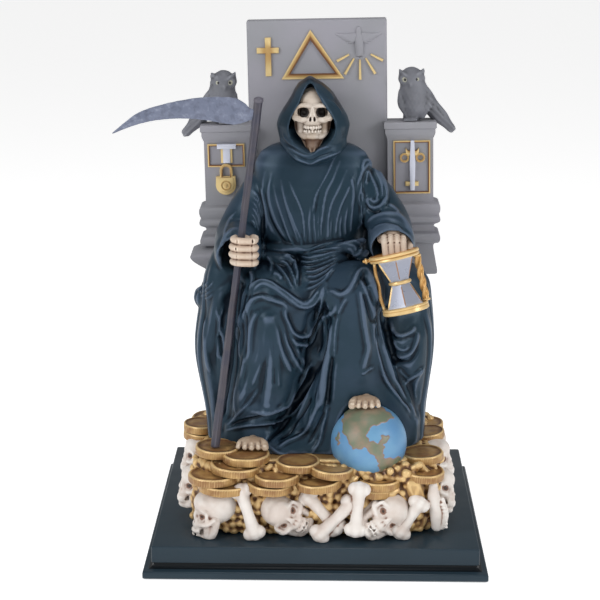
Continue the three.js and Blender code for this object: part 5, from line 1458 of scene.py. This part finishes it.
def globePaint():
    # sea, a dark line along the coasts and mottled land
    material = paint("globePaint", base=(0.105, 0.26, 0.47), washAndShade=(0, 0, 0), light=(0, 0, 0), rough=(0.34, 0.46),
                     mottle=0.18, mottleSize=45, other=(0.15, 0.33, 0.50), relief=False)
    tree = material.node_tree
    coat = tree.nodes["Principled BSDF"].inputs["Base Color"]
    sea = coat.links[0].from_socket
    height = layerValue(tree, "land")
    tones = ramp(tree, noiseAt(tree, globeSizes["landMottle"], 4.0), 0.40, (0.15, 0.18, 0.12), 0.62, (0.26, 0.20, 0.14))
    shore = ramp(tree, height, 0.12, (0, 0, 0), 0.45, (1, 1, 1))
    inland = ramp(tree, height, 0.55, (0, 0, 0), 0.95, (1, 1, 1))
    land = blended(tree, inland, (0.28, 0.16, 0.12), tones)
    tree.links.new(blended(tree, shore, sea, land), coat)
    return material


buildGlobe(globeSizes)
print("stage: globe")


# scythe

scytheSizes = {
    "foot": (-59.6, -52.1, 68.0),
    "grip": (-45.1, -39.7, 182.5),
    "height": 203.0,
    "thickness": 4.6,
    "bladeLength": 83.0,
    "bladeWidth": 15.5,
    "bladeThickness": 2.6,
    "pitting": 0.16,
}


def buildScythe(sizes):
    foot, grip = Vector(sizes["foot"]), Vector(sizes["grip"])
    way = (grip - foot).normalized()
    length = sizes["height"] / way.z
    bm = bmesh.new()
    thick = sizes["thickness"]

    def place(angle, share):
        size = along([0.54, 0.5, 0.48, 0.44, 0.47, 0.54], share) * thick
        centre = foot + way * length * share
        turn = angle + 0.8 * share
        grainLine = 0.05 * math.cos(5 * turn + 6 * share) + 0.03 * math.cos(9 * turn - 11 * share)
        knots = 0.05 * math.sin(share * 41 + 2 * math.sin(angle)) + 0.04 * math.sin(share * 83)
        size *= 1 + grainLine + knots * 0.6
        return centre + Vector((math.sin(angle), -math.cos(angle), 0)) * size

    tube(bm, 32, 220, place)
    top = foot + way * (length - 1.5)
    ball(bm, top, (2.9, 2.9, 2.3), detail=3)
    shaft = makePiece(bm, "scytheShaft")
    markRelief(shaft, 2, 12)
    dress(shaft, shaftPaint, "blade_steel_paint", "scythe")

    joint = foot + way * (length - sizes["bladeWidth"] * 0.72)
    wide, reach = sizes["bladeWidth"], sizes["bladeLength"]
    spine = [Vector((s, 0, r)) for s, r in ((-0.02, 0.26), (0.04, 0.34), (0.1, 0.6), (0.18, 0.74), (0.4, 0.72),
                                            (0.62, 0.5), (0.82, 0.14), (1.0, -0.6))]
    blade = [Vector((s, 0, r)) for s, r in ((-0.02, -0.06), (0.04, -0.1), (0.1, -0.22), (0.18, -0.26), (0.4, -0.08),
                                            (0.62, -0.08), (0.82, -0.28), (1.0, -0.64))]
    bm = bmesh.new()

    def bladePlace(angle, share):
        share = min(max(share, 0.004), 0.998)
        high, low = curvePoint(spine, share), curvePoint(blade, share)
        across = 0.5 + 0.5 * math.cos(angle)
        point = low.lerp(high, across)
        # thick along the spine, ground thin to the edge, with a shallow hollow under the spine
        body = math.sin(angle)
        swell = 0.5 * (0.25 + 0.75 * ease(0.0, 0.5, across)) * (1 - 0.22 * bell(across - 0.62, 0.14))
        thin = sizes["bladeThickness"] * swell * (1 - 0.55 * share)
        y = rounded(body, 0.55) * thin
        return Vector((joint.x - reach * point.x, joint.y + y, joint.z + wide * point.z))

    tube(bm, 56, 170, bladePlace)
    piece = makePiece(bm, "scytheBlade")
    co = readPoints(piece)
    normals = readNormals(piece)
    pitted = np.array([noise.noise(Vector(p) * 0.32) + 0.6 * noise.noise(Vector(p) * 0.9) for p in co])
    writePoints(piece, co + normals * (pitted * sizes["pitting"])[:, None])
    markRelief(piece, 2, 10, extra=pitted * 0.35)
    dress(piece, bladePaint, "blade_steel_paint", "scythe")


buildScythe(scytheSizes)
print("stage: scythe")


# hourglass, about the middle of its axis

hourglassSizes = {
    "grip": (44.4, -47.0, 182.0),
    "pitch": -9.0,
    "swing": -13.0,
    "drop": 14.7,
    "plateTop": 14.8,
    "plateBottom": 13.6,
    "plateHeight": 3.8,
    "half": 17.5,
    "bulb": 11.5,
    "waist": 5.5,
    "post": 1.8,
}


def disc(bm, radius, low, high, profile, sides=64):
    # turned plate: profile rows of [share of the radius, share of the height]
    rows = [(0.0, 0.0)] + profile + [(0.0, profile[-1][1])]

    def place(angle, share):
        spot = min(max(share, 0.0), 1.0) * (len(rows) - 1)
        i = min(int(spot + 1e-6), len(rows) - 2)
        f = spot - i
        r = mix(rows[i][0], rows[i + 1][0], f) * radius
        z = mix(low, high, mix(rows[i][1], rows[i + 1][1], f))
        return Vector((r * math.sin(angle), -r * math.cos(angle), z))

    return tube(bm, sides, len(rows) - 1, place)


def sixSided(bm, radii, low, high):
    def place(angle, share):
        third = math.tau / 6
        off = (angle + third / 2) % third - third / 2
        flat = math.cos(third / 2) / math.cos(off)
        r = mix(radii[0], radii[1], share) * mix(1.0, flat, 0.92)
        turn = angle + third / 2
        return Vector((r * math.sin(turn), -r * math.cos(turn), mix(low, high, share)))

    return tube(bm, 48, 8, place)


def buildHourglass(sizes):
    hang = (Matrix.Translation(sizes["grip"]) @ Matrix.Rotation(math.radians(sizes["pitch"]), 4, "X")
            @ Matrix.Rotation(math.radians(sizes["swing"]), 4, "Y") @ Matrix.Translation((0, 0, -sizes["drop"])))
    top, inner = sizes["half"], sizes["half"] - sizes["plateHeight"]
    gold, glass, face = bmesh.new(), bmesh.new(), bmesh.new()
    rim = [(0.86, 0.0), (0.95, 0.04), (0.99, 0.2), (0.97, 0.42), (0.96, 0.5), (0.99, 0.6), (1.0, 0.8), (0.97, 0.97),
           (0.93, 1.0), (0.90, 0.97), (0.885, 0.86)]
    disc(gold, sizes["plateTop"], inner, top, rim)
    disc(face, sizes["plateTop"] * 0.885, top - 0.6, top - 0.2, [(0.99, 0.0), (0.99, 1.0)])
    disc(gold, sizes["plateBottom"], -top, -inner, [(0.95, 0.0), (1.0, 0.12), (0.995, 0.5), (0.985, 0.62), (0.99, 0.7),
                                                   (0.985, 0.88), (0.94, 1.0)])
    disc(gold, sizes["waist"] * 1.18, -1.1, 1.1, [(0.9, 0.0), (1.0, 0.2), (1.03, 0.5), (1.0, 0.8), (0.9, 1.0)], 48)
    sixSided(glass, (sizes["waist"], sizes["bulb"]), 0, inner)
    sixSided(glass, (sizes["bulb"], sizes["waist"]), -inner, 0)
    seams = bmesh.new()
    for i in range(6):
        turn = math.tau * (i + 0.5) / 6 + math.tau / 12
        way = Vector((math.sin(turn), -math.cos(turn), 0))
        wide, narrow = way * sizes["bulb"] * 0.985, way * sizes["waist"] * 0.99
        target, size = (gold, 0.62) if i in (1, 4) else (seams, 0.38)
        for end in (1, -1):
            low, high = Vector((0, 0, 0.8 * end)), Vector((0, 0, inner * end))
            limb(target, [narrow + low, wide + high], [size, size], 8, 6, cap=0.05)

    def twisted(angle, share):
        turn = angle + share * math.tau * 1.35
        size = sizes["post"] * (1 + 0.24 * math.cos(3 * angle))
        x = sizes["plateTop"] * 0.86 + size * math.sin(turn)
        return Vector((x, -size * math.cos(turn), mix(-inner, inner, share)))

    tube(gold, 36, 60, twisted)
    for z in (-inner + 0.8, inner - 0.8):
        ball(gold, (sizes["plateTop"] * 0.86, 0, z), (2.5, 2.5, 1.0))
    # the plain post and the knob on the upper rim
    limb(gold, [(-12.1, 0, -inner), (-12.9, 0, -inner * 0.4), (-12.3, 0, 0), (-12.6, 0, inner * 0.5),
                (-12.1, 0, inner)], [0.95, 1.1, 0.9, 1.0, 0.95], 14, 24, cap=0.03)
    limb(gold, [(-13.5, 0, top - 1.7), (-15.2, 0, top - 1.6), (-16.6, -0.3, top - 1.5), (-17.6, -0.5, top - 1.4)],
         [1.0, 0.9, 1.7, 0.9], 16, 20, cap=0.2)
    for bunch, name, material, slot in ((gold, "hourglassFrame", goldLeafPaint, "hourglass_gold"),
                                        (glass, "hourglassBulbs", glassPaint, "blade_steel_paint"),
                                        (seams, "hourglassSeams", seamPaint, "hourglass_gold"),
                                        (face, "hourglassFace", orangePaint, "hourglass_gold")):
        moved(bunch, bunch.verts, hang)
        piece = makePiece(bunch, name, auto=32)
        markRelief(piece, 1, 3)
        dress(piece, material, slot, "hourglass")


goldLeafPaint = paint("goldLeafPaint", base=(0.50, 0.27, 0.075), washAndShade=(0.15, 0.05, 0.014), light=(0.78, 0.58, 0.28),
                      rough=(0.28, 0.4), washAndShadeEdge=(0.3, 0.5), lightEdge=(0.52, 0.75), lightShare=0.75, mottle=0.15,
                      mottleSize=110, other=(0.40, 0.18, 0.04), grain=0.03, metal=0.3)
glassPaint = paint("glassPaint", base=(0.27, 0.29, 0.36), washAndShade=(0.14, 0.13, 0.15), light=(0.42, 0.44, 0.50),
                   rough=(0.25, 0.35), mottle=0.04, mottleSize=40, other=(0.30, 0.31, 0.36), grain=0.01, metal=0.25,
                   lightEdge=(0.6, 0.9))
seamPaint = paint("seamPaint", base=(0.30, 0.15, 0.075), washAndShade=(0.12, 0.05, 0.03), light=(0.5, 0.3, 0.16),
                  rough=(0.4, 0.5), relief=False)
orangePaint = paint("orangePaint", base=(0.58, 0.27, 0.08), washAndShade=(0.3, 0.1, 0.03), light=(0.8, 0.5, 0.2),
                    rough=(0.35, 0.5), mottle=0.2, mottleSize=160, other=(0.7, 0.38, 0.13), relief=False, metal=0.2)
buildHourglass(hourglassSizes)
print("stage: hourglass")


# owls on the pillars

owlSizes = {
    "voxel": 0.5,
    "perch": (55.85, 24.0, 249.6),
    "featherSize": (2.6, 2.5),
    "breastDepth": 0.09,
    "wingDepth": 0.2,
}


def buildOwl(side, name, node, sizes):
    perch = Vector((side * sizes["perch"][0], sizes["perch"][1], sizes["perch"][2]))
    bm, hollows = bmesh.new(), bmesh.new()

    def at(x, y, z):
        return (x * side, y, z)

    head = (0.6, -1.6, 24.9)
    limb(bm, [at(-0.5, -0.5, -1), at(2.4, 0, 8), at(2.0, -0.6, 17), at(*head)], [4.6, 8.2, 8.6, 7.2], 32, 30)
    limb(bm, [at(5.5, 1.5, 16), at(15, 2.2, 4.5), at(24.5, 2.6, -6)], [6, 5, 3], 24, 24, flat=0.8)
    ball(bm, at(*head), (8.2, 6.5, 5.2))
    for way in (-1, 1):
        ball(bm, at(way * 3.8 + 0.6, -2.0, 26.2), (4.2, 4.6, 3.4))
        limb(bm, [at(way * 5.4 + 0.6, -2.4, 27.0), at(way * 7.2 + 0.6, -3.0, 30.6)], [2.5, 0.8], 14, 10)
        limb(bm, [at(way * 0.8 + 0.2, -7.4, 26.0), at(way * 3.6 + 0.2, -7.4, 28.0), at(way * 6.4 + 0.6, -4.6, 29.4)],
             [0.9, 1.2, 0.9], 12, 12)
        ball(bm, at(way * 3.4 - 0.1, -6.2, 24.9), (3.3, 1.7, 3.3))
        limb(bm, [at(way * 7.2 + 2.2, -2.2, 17), at(way * 7.6 + 2.6, -2.6, 10), at(way * 4.4 + 2.6, -3.4, 2)],
             [2.6, 3.0, 1.6], 16, 18)
        for i in range(3):
            middle = way * 2.2 - 0.3
            limb(bm, [at(middle + (i - 1) * 1.3, -5.6, 1.2), at(middle + (i - 1) * 1.5, -7.4, 0.2)], [0.9, 0.7], 10, 6)
    limb(bm, [at(-0.2, -7, 24.2), at(-0.3, -8.6, 22.8), at(-0.4, -8.8, 20.8)], [1.3, 1.2, 0.6], 12, 10)
    for i in range(5):
        root, tip = at(9 + i * 1.2, -5.2 + i * 0.9, 15.5 - i * 1.0), at(24 + i * 0.2, -1.4 + i * 0.9, -3.5 - i * 0.6)
        limb(hollows, [root, tip], [0.45, 0.45], 8, 6)
    for bunch in (bm, hollows):
        moved(bunch, bunch.verts, throneLean @ Matrix.Translation(perch))
    piece = carve(bm, name, sizes["voxel"], hollows, 2)
    co, normals = readPoints(piece), readNormals(piece)
    cap = throneLean @ Vector((perch.x, perch.y, bed + throneSizes["pillarHeight"] + 0.3))
    local = co - np.array(cap)
    x, z = local[:, 0] * side, local[:, 2]
    # breast feathers in rows, wing feathers along the wing
    wide, high = sizes["featherSize"]
    row = z / high
    scale = np.cos((x / wide + 0.5 * (np.floor(row) % 2)) * math.tau) * np.sin((row % 1.0) * math.pi)
    breast = ease(-1.5, -4.5, local[:, 1]) * ease(2, 5, z) * ease(20, 17, z)
    long = np.cos((x + z * 1.02) * 1.5) * ease(9.5, 13.5, x + 0.2 * z)
    depth = sizes["breastDepth"] * scale * breast + sizes["wingDepth"] * long
    co = co + normals * depth[:, None]
    low = (x < 15) & (z < 0.0) & (local[:, 1] > -11)
    co[low, 2] = np.maximum(co[low, 2], cap.z - 0.05)
    writePoints(piece, co)
    markRelief(piece, 2, 12)
    dress(piece, owlPaint, "owl_grey", node)
    eyes, pupils = bmesh.new(), bmesh.new()
    for way in (-1, 1):
        place = throneLean @ (perch + Vector(at(way * 3.4 - 0.2, -7.4, 25.1)))
        ball(eyes, place, (1.75, 0.8, 1.75))
        ball(pupils, place + Vector((0, -0.42, 0)), (0.95, 0.6, 0.95))
    for bunch, part, material in ((eyes, "Eyes", eyePaint), (pupils, "Pupils", pupilPaint)):
        dress(makePiece(bunch, name + part), material, "owl_grey", node)


eyePaint = paint("eyePaint", base=(0.34, 0.34, 0.27), washAndShade=(0, 0, 0), light=(0, 0, 0), relief=False, rough=(0.3, 0.4))
pupilPaint = paint("pupilPaint", base=(0.02, 0.018, 0.02), washAndShade=(0, 0, 0), light=(0, 0, 0), relief=False,
                   rough=(0.2, 0.3))
buildOwl(-1, "owlLeft", "owl_left", owlSizes)
buildOwl(1, "owlRight", "owl_right", owlSizes)
print("stage: owls")


# mound of coins, nuggets, bones and skulls

moundSizes = {
    "voxel": 0.85,
    "reach": (75.0, 61.0),
    "middleY": -7.0,
    "bottom": 18.6,
    "nuggetRows": 11,
    "nuggetStep": 4.2,
    "nuggetSize": (2.0, 3.5),
    "topNuggets": 340,
    "robeHalf": (0.74, -0.62, 0.6),     # share in X, and from and to in Y, that robe and throne cover
    "keep": 0.55,
    "coinRadius": 14.0,
    "coinThickness": 5.0,
    "coinSides": 120,
    "skullHeight": 27.0,
    "patternHeight": 30.5,
    "frontVoxel": 0.5,
    "sideVoxel": 0.72,
    "boneVoxel": 0.55,
    "boneLength": 33.0,
    "boneThickness": 6.4,
    "pitShade": 0.34,
    "socketShare": 0.58,
    "seed": 11,
}
# coins: share of the reach in X and Y, rise of the top in coin thicknesses, tilt in degrees, size
coinRows = [
    (-0.55, -0.79, 0.72, 0, 1), (-0.78, -0.67, 1.04, 2, 0.95), (-0.14, -0.84, 0.1, 0, 0.92),
    (0.12, -0.92, -0.3, 4, 0.92), (0.84, -0.6, 0.2, -3, 0.9), (-0.63, -0.86, -0.3, 3, 1.05),
    (-0.8, -0.9, -1.3, 0, 1.05), (-0.72, -0.93, -2.3, 2, 1.05), (-0.3, -0.97, -1, -2, 0.95),
    (-0.36, -0.97, -2.1, 3, 0.95), (0.02, -1, -1.6, -3, 0.95), (0.5, -0.87, -1.9, 0, 0.9),
    (0.46, -0.87, -2.9, 3, 0.86), (0.84, -0.8, -1.2, 2, 0.9), (-0.95, 0.08, 0.8, 0, 0.8),
    (-0.95, 0.08, -0.3, 3, 0.8), (0.9, 0.02, 0.2, -6, 0.8), (-0.9, 0.62, -0.6, 0, 0.9), (0.9, 0.55, -0.8, 0, 0.9),
    (-0.4, 0.92, -1.2, 0, 0.95), (0.3, 0.95, -1.6, 0, 0.95),
]
# skulls: share in X and Y, rise in skull heights, turn in degrees, size
skullRows = [
    (-0.8, -0.95, 0.46, (8, 0, -75), 1.2), (-0.24, -0.98, 0.5, (12, -58, 16), 1.12),
    (0.54, -0.97, 0.5, (8, 58, 8), 1.16), (-0.965, -0.5, 0.75, (0, 0, -62), 1), (-0.965, -0.02, 1.05, (0, 0, -78), 1),
    (-0.965, 0.45, 1.05, (0, 0, -90), 1), (0.97, -0.12, 1.1, (0, 0, 70), 1), (0.98, -0.52, 0.7, (0, 20, 60), 1),
    (0.97, 0.45, 0.9, (0, 0, 95), 1), (0.05, 1.0, 0.5, (0, 0, 180), 1.05),
]
# bones: share of the low end in X and Y, rise in bone lengths, lean in degrees, length
boneRows = [
    (-0.475, -1.1, 0.12, -18, 0.78), (0.03, -1.12, 0.12, 46, 0.76), (0.16, -1.05, 0.2, -43, 0.74),
    (0.31, -1.13, 0.22, 5, 0.72), (0.66, -1.04, 0.12, 33, 0.6), (-0.5, 1.02, 0.12, 60, 1), (0.6, 1.02, 0.12, -40, 1),
]


def moundPoint(sizes, shareX, shareY, z):
    return Vector((sizes["reach"][0] * shareX, sizes["middleY"] + sizes["reach"][1] * shareY, z))


def buildBed(sizes):
    bm = bmesh.new()

    def place(angle, share):
        spread = along([0.94, 0.97, 0.94, 0.84], share) + 0.012 * math.cos(7 * angle + 3 * share)
        x = rounded(math.sin(angle), 0.4) * sizes["reach"][0] * spread
        y = rounded(math.cos(angle), 0.4) * sizes["reach"][1] * spread
        return Vector((x, sizes["middleY"] - y, mix(sizes["bottom"], bed, share)))

    tube(bm, 120, 24, place)
    pick = random.Random(sizes["seed"])
    low, high = sizes["nuggetSize"]
    rows = sizes["nuggetRows"]
    for side in range(4):
        wide = sizes["reach"][side // 2]
        count = int(2 * wide / sizes["nuggetStep"])
        for spot in range(rows * count):
            row, i = divmod(spot, count)
            u = ((i + 0.25 + 0.5 * (row % 2) + pick.uniform(-0.3, 0.3)) / count * 2 - 1) * 0.985
            level = (row + 0.5 + pick.uniform(-0.3, 0.3)) / rows
            across = (1 - abs(u) ** 5) ** 0.2 * along([0.965, 0.995, 0.96, 0.88], level)
            size = pick.uniform(low, high)
            z = min(mix(sizes["bottom"], bed, level) + size * 0.4, bed - size - 0.6)
            place = ((u, -across), (u, across), (across, u), (-across, u))[side]
            turn = [pick.uniform(0, 360) for _ in range(3)]
            shape = (size, size * pick.uniform(0.75, 1), size * 0.85)
            ball(bm, moundPoint(sizes, place[0], place[1], z), shape, turn, 2)
    for _ in range(sizes["topNuggets"]):
        shareX, shareY = pick.uniform(-0.88, 0.88), pick.uniform(-0.9, 0.9)
        half, nearest, farthest = sizes["robeHalf"]
        covered = abs(shareX) < half and nearest < shareY < farthest
        spaces = []
        for coinX, coinY, rise, _, coinSize in coinRows:
            away = math.hypot((shareX - coinX) * sizes["reach"][0], (shareY - coinY) * sizes["reach"][1])
            spaces.append(away - (0 if rise < -1 else sizes["coinRadius"] * coinSize))
        clear = min(spaces)
        size = pick.uniform(low, high) * 0.8
        if clear > size + 1 and not covered:
            ball(bm, moundPoint(sizes, shareX, shareY, bed - 1.0), (size, size, size * 0.8), (0, 0, 0), 2)
    # a lump of ore at the front right
    ore = bmesh.new()
    verts = ball(ore, (0, 0, 0), (6.4, 6.0, 12.5), (0, -8, 20), 1)
    for v in verts:
        v.co *= 1 + 0.14 * noise.noise(v.co * 0.5)
    moved(ore, verts, Matrix.Translation(moundPoint(sizes, 0.77, -0.92, 46)))
    merge(bm, ore)
    piece = carve(bm, "moundBed", sizes["voxel"], None, 2)
    levelFoot(piece, sizes["bottom"])
    markRelief(piece, 3, 12, sharp=3.0, soft=0.6)
    thinOut(piece, sizes["keep"])
    dress(piece, goldPaint, "coin_gold", "mound")


def buildCoins(sizes):
    bm = bmesh.new()
    layer = bm.verts.layers.float.new("relief")
    # rows of [share of the radius, share of the thickness, paint relief], low for painted shade in the groove inside
    # the rim, high for painted highlight on the rim
    profile = [(0.0, 0.0, 0.4), (0.9, 0.0, 0.4), (0.99, 0.1, 0.7), (1.0, 0.22, 0.6), (1.0, 0.78, 0.6),
               (0.99, 0.9, 0.85), (0.95, 1.0, 0.9), (0.9, 1.0, 0.72), (0.86, 0.92, 0.24), (0.62, 0.92, 0.45),
               (0.56, 0.95, 0.52), (0.5, 0.95, 0.50), (0.3, 0.93, 0.46), (0.0, 0.94, 0.48)]
    pick = random.Random(sizes["seed"] + 1)
    for shareX, shareY, rise, tilt, size in coinRows:
        radius, thick = sizes["coinRadius"] * size, sizes["coinThickness"]
        wear = [pick.uniform(0, math.tau) for _ in range(3)]

        def place(angle, share):
            spot = share * (len(profile) - 1)
            i = min(int(spot + 1e-6), len(profile) - 2)
            r, h, _ = profile[i] if spot - i < 0.5 else profile[i + 1]
            worn = 1 + 0.012 * math.cos(3 * angle + wear[0]) + 0.008 * math.cos(7 * angle + wear[1])
            if 0.1 < h < 0.95 and r > 0.95:
                worn += 0.006 * math.cos(60 * angle)
            out = r * radius * worn
            return Vector((out * math.sin(angle), -out * math.cos(angle), (h - 0.5) * thick))

        made = tube(bm, sizes["coinSides"], len(profile) - 1, place)
        for v in made:
            flat = math.hypot(v.co.x, v.co.y) / radius
            height = v.co.z / thick + 0.5
            nearest = min(profile, key=lambda row: (row[0] - flat) ** 2 + (row[1] - height) ** 2)
            v[layer] = nearest[2] + pick.uniform(-0.06, 0.06)
            # the reeded edge is striped with painted highlight along the reeds and painted shade between them
            if 0.15 < height < 0.85 and flat > 0.95:
                v[layer] = 0.6 + 0.1 * math.cos(60 * math.atan2(v.co.x, -v.co.y)) + pick.uniform(-0.1, 0.1)
        z = bed + (rise - 0.5) * thick
        turn = Matrix.Rotation(math.radians(tilt), 4, "Y")
        moved(bm, made, Matrix.Translation(moundPoint(sizes, shareX, shareY, z)) @ turn)
    piece = makePiece(bm, "moundCoins", auto=40)
    dress(piece, coinPaint, "coin_gold", "mound")


def buildBones(sizes):
    bm = bmesh.new()
    for shareX, shareY, rise, lean, reach in boneRows:
        start = moundPoint(sizes, shareX, shareY, sizes["bottom"] + rise * sizes["boneLength"])
        turn = math.radians(lean)
        way = Vector((math.sin(turn), 0.16, math.cos(turn)))
        end = start + way * sizes["boneLength"] * reach
        thick = sizes["boneThickness"] / 2 * 1.2
        limb(bm, [start, start.lerp(end, 0.5) + Vector((0, -0.6, 0)), end],
             [r * thick for r in (1.25, 0.95, 0.84, 0.95, 1.25)], 20, 24)
        across = Vector((math.cos(turn), 0, -math.sin(turn)))
        for spot in (start, end):
            for side in (-1, 1):
                ball(bm, spot + across * side * thick * 0.72, thick * 1.05)
    # a jaw standing at the front right corner, with a row of teeth
    foot = moundPoint(sizes, 0.95, -0.92, sizes["bottom"] + 5)
    limb(bm, [foot, foot + Vector((-0.6, -1.2, 9)), foot + Vector((-2.2, -0.8, 18)), foot + Vector((-2.6, 0.4, 25))],
         [3.4, 3.9, 3.7, 2.6], 22, 30)
    limb(bm, [foot + Vector((3.2, -1.0, 0)), foot + Vector((4.6, -2.0, 8)), foot + Vector((3.0, -1.4, 17))],
         [2.0, 2.2, 1.4], 16, 20)
    for i in range(8):
        turn = 0.35 * i
        tooth = foot + Vector((5.4 - 0.05 * i * i, -3.6 + 0.4 * math.cos(turn), 0.4 + 2.05 * i))
        ball(bm, tooth, (1.15, 1.0, 0.85), detail=2)
    piece = carve(bm, "moundBones", sizes["boneVoxel"], None, 2)
    levelFoot(piece, sizes["bottom"] + 0.1)
    markRelief(piece, 3, 14, sharp=3.0)
    thinOut(piece, sizes["keep"])
    dress(piece, bonePaint, "coin_gold", "mound")


def buildMoundSkulls(sizes):
    for name, rows, voxel in (("moundSkullsFront", skullRows[:3], sizes["frontVoxel"]),
                              ("moundSkullsSides", skullRows[3:], sizes["sideVoxel"])):
        model, hollows = bmesh.new(), bmesh.new()
        skullForms(model, fine=False)
        teeth(model, skullSizes)
        skullHollows(hollows, sizes["socketShare"])
        pattern = carve(model, "skullPattern", voxel, hollows, 1)
        co = readPoints(pattern)
        markRelief(pattern, 2, 10, extra=-sizes["pitShade"] * np.minimum(skullPits(co, sizes["socketShare"]), 1))
        thinOut(pattern, sizes["keep"])
        bm = bmesh.new()
        for shareX, shareY, rise, turn, size in rows:
            before = len(bm.verts)
            bm.from_mesh(pattern.data)
            bm.verts.ensure_lookup_table()
            scale = sizes["skullHeight"] / sizes["patternHeight"] * size / mm
            spot = moundPoint(sizes, shareX, shareY, sizes["bottom"] + rise * sizes["skullHeight"])
            shape = Matrix.LocRotScale(spot, Euler([math.radians(t) for t in turn]), Vector((scale,) * 3))
            moved(bm, bm.verts[before:], shape)
        bpy.data.meshes.remove(pattern.data)
        piece = makePiece(bm, name)
        levelFoot(piece, sizes["bottom"] + 0.1)
        dress(piece, bonePaint, "coin_gold", "mound")


coinPaint = paint("coinPaint", base=(0.42, 0.25, 0.09), washAndShade=(0.12, 0.05, 0.024), light=(0.82, 0.60, 0.29),
                  rough=(0.34, 0.5), washAndShadeEdge=(0.16, 0.5), lightEdge=(0.58, 0.95), lightShare=0.75, mottle=0.25,
                  mottleSize=110, other=(0.27, 0.135, 0.05), grain=0.04, metal=0.28)
buildBed(moundSizes)
buildCoins(moundSizes)
buildBones(moundSizes)
buildMoundSkulls(moundSizes)
print("stage: mound")
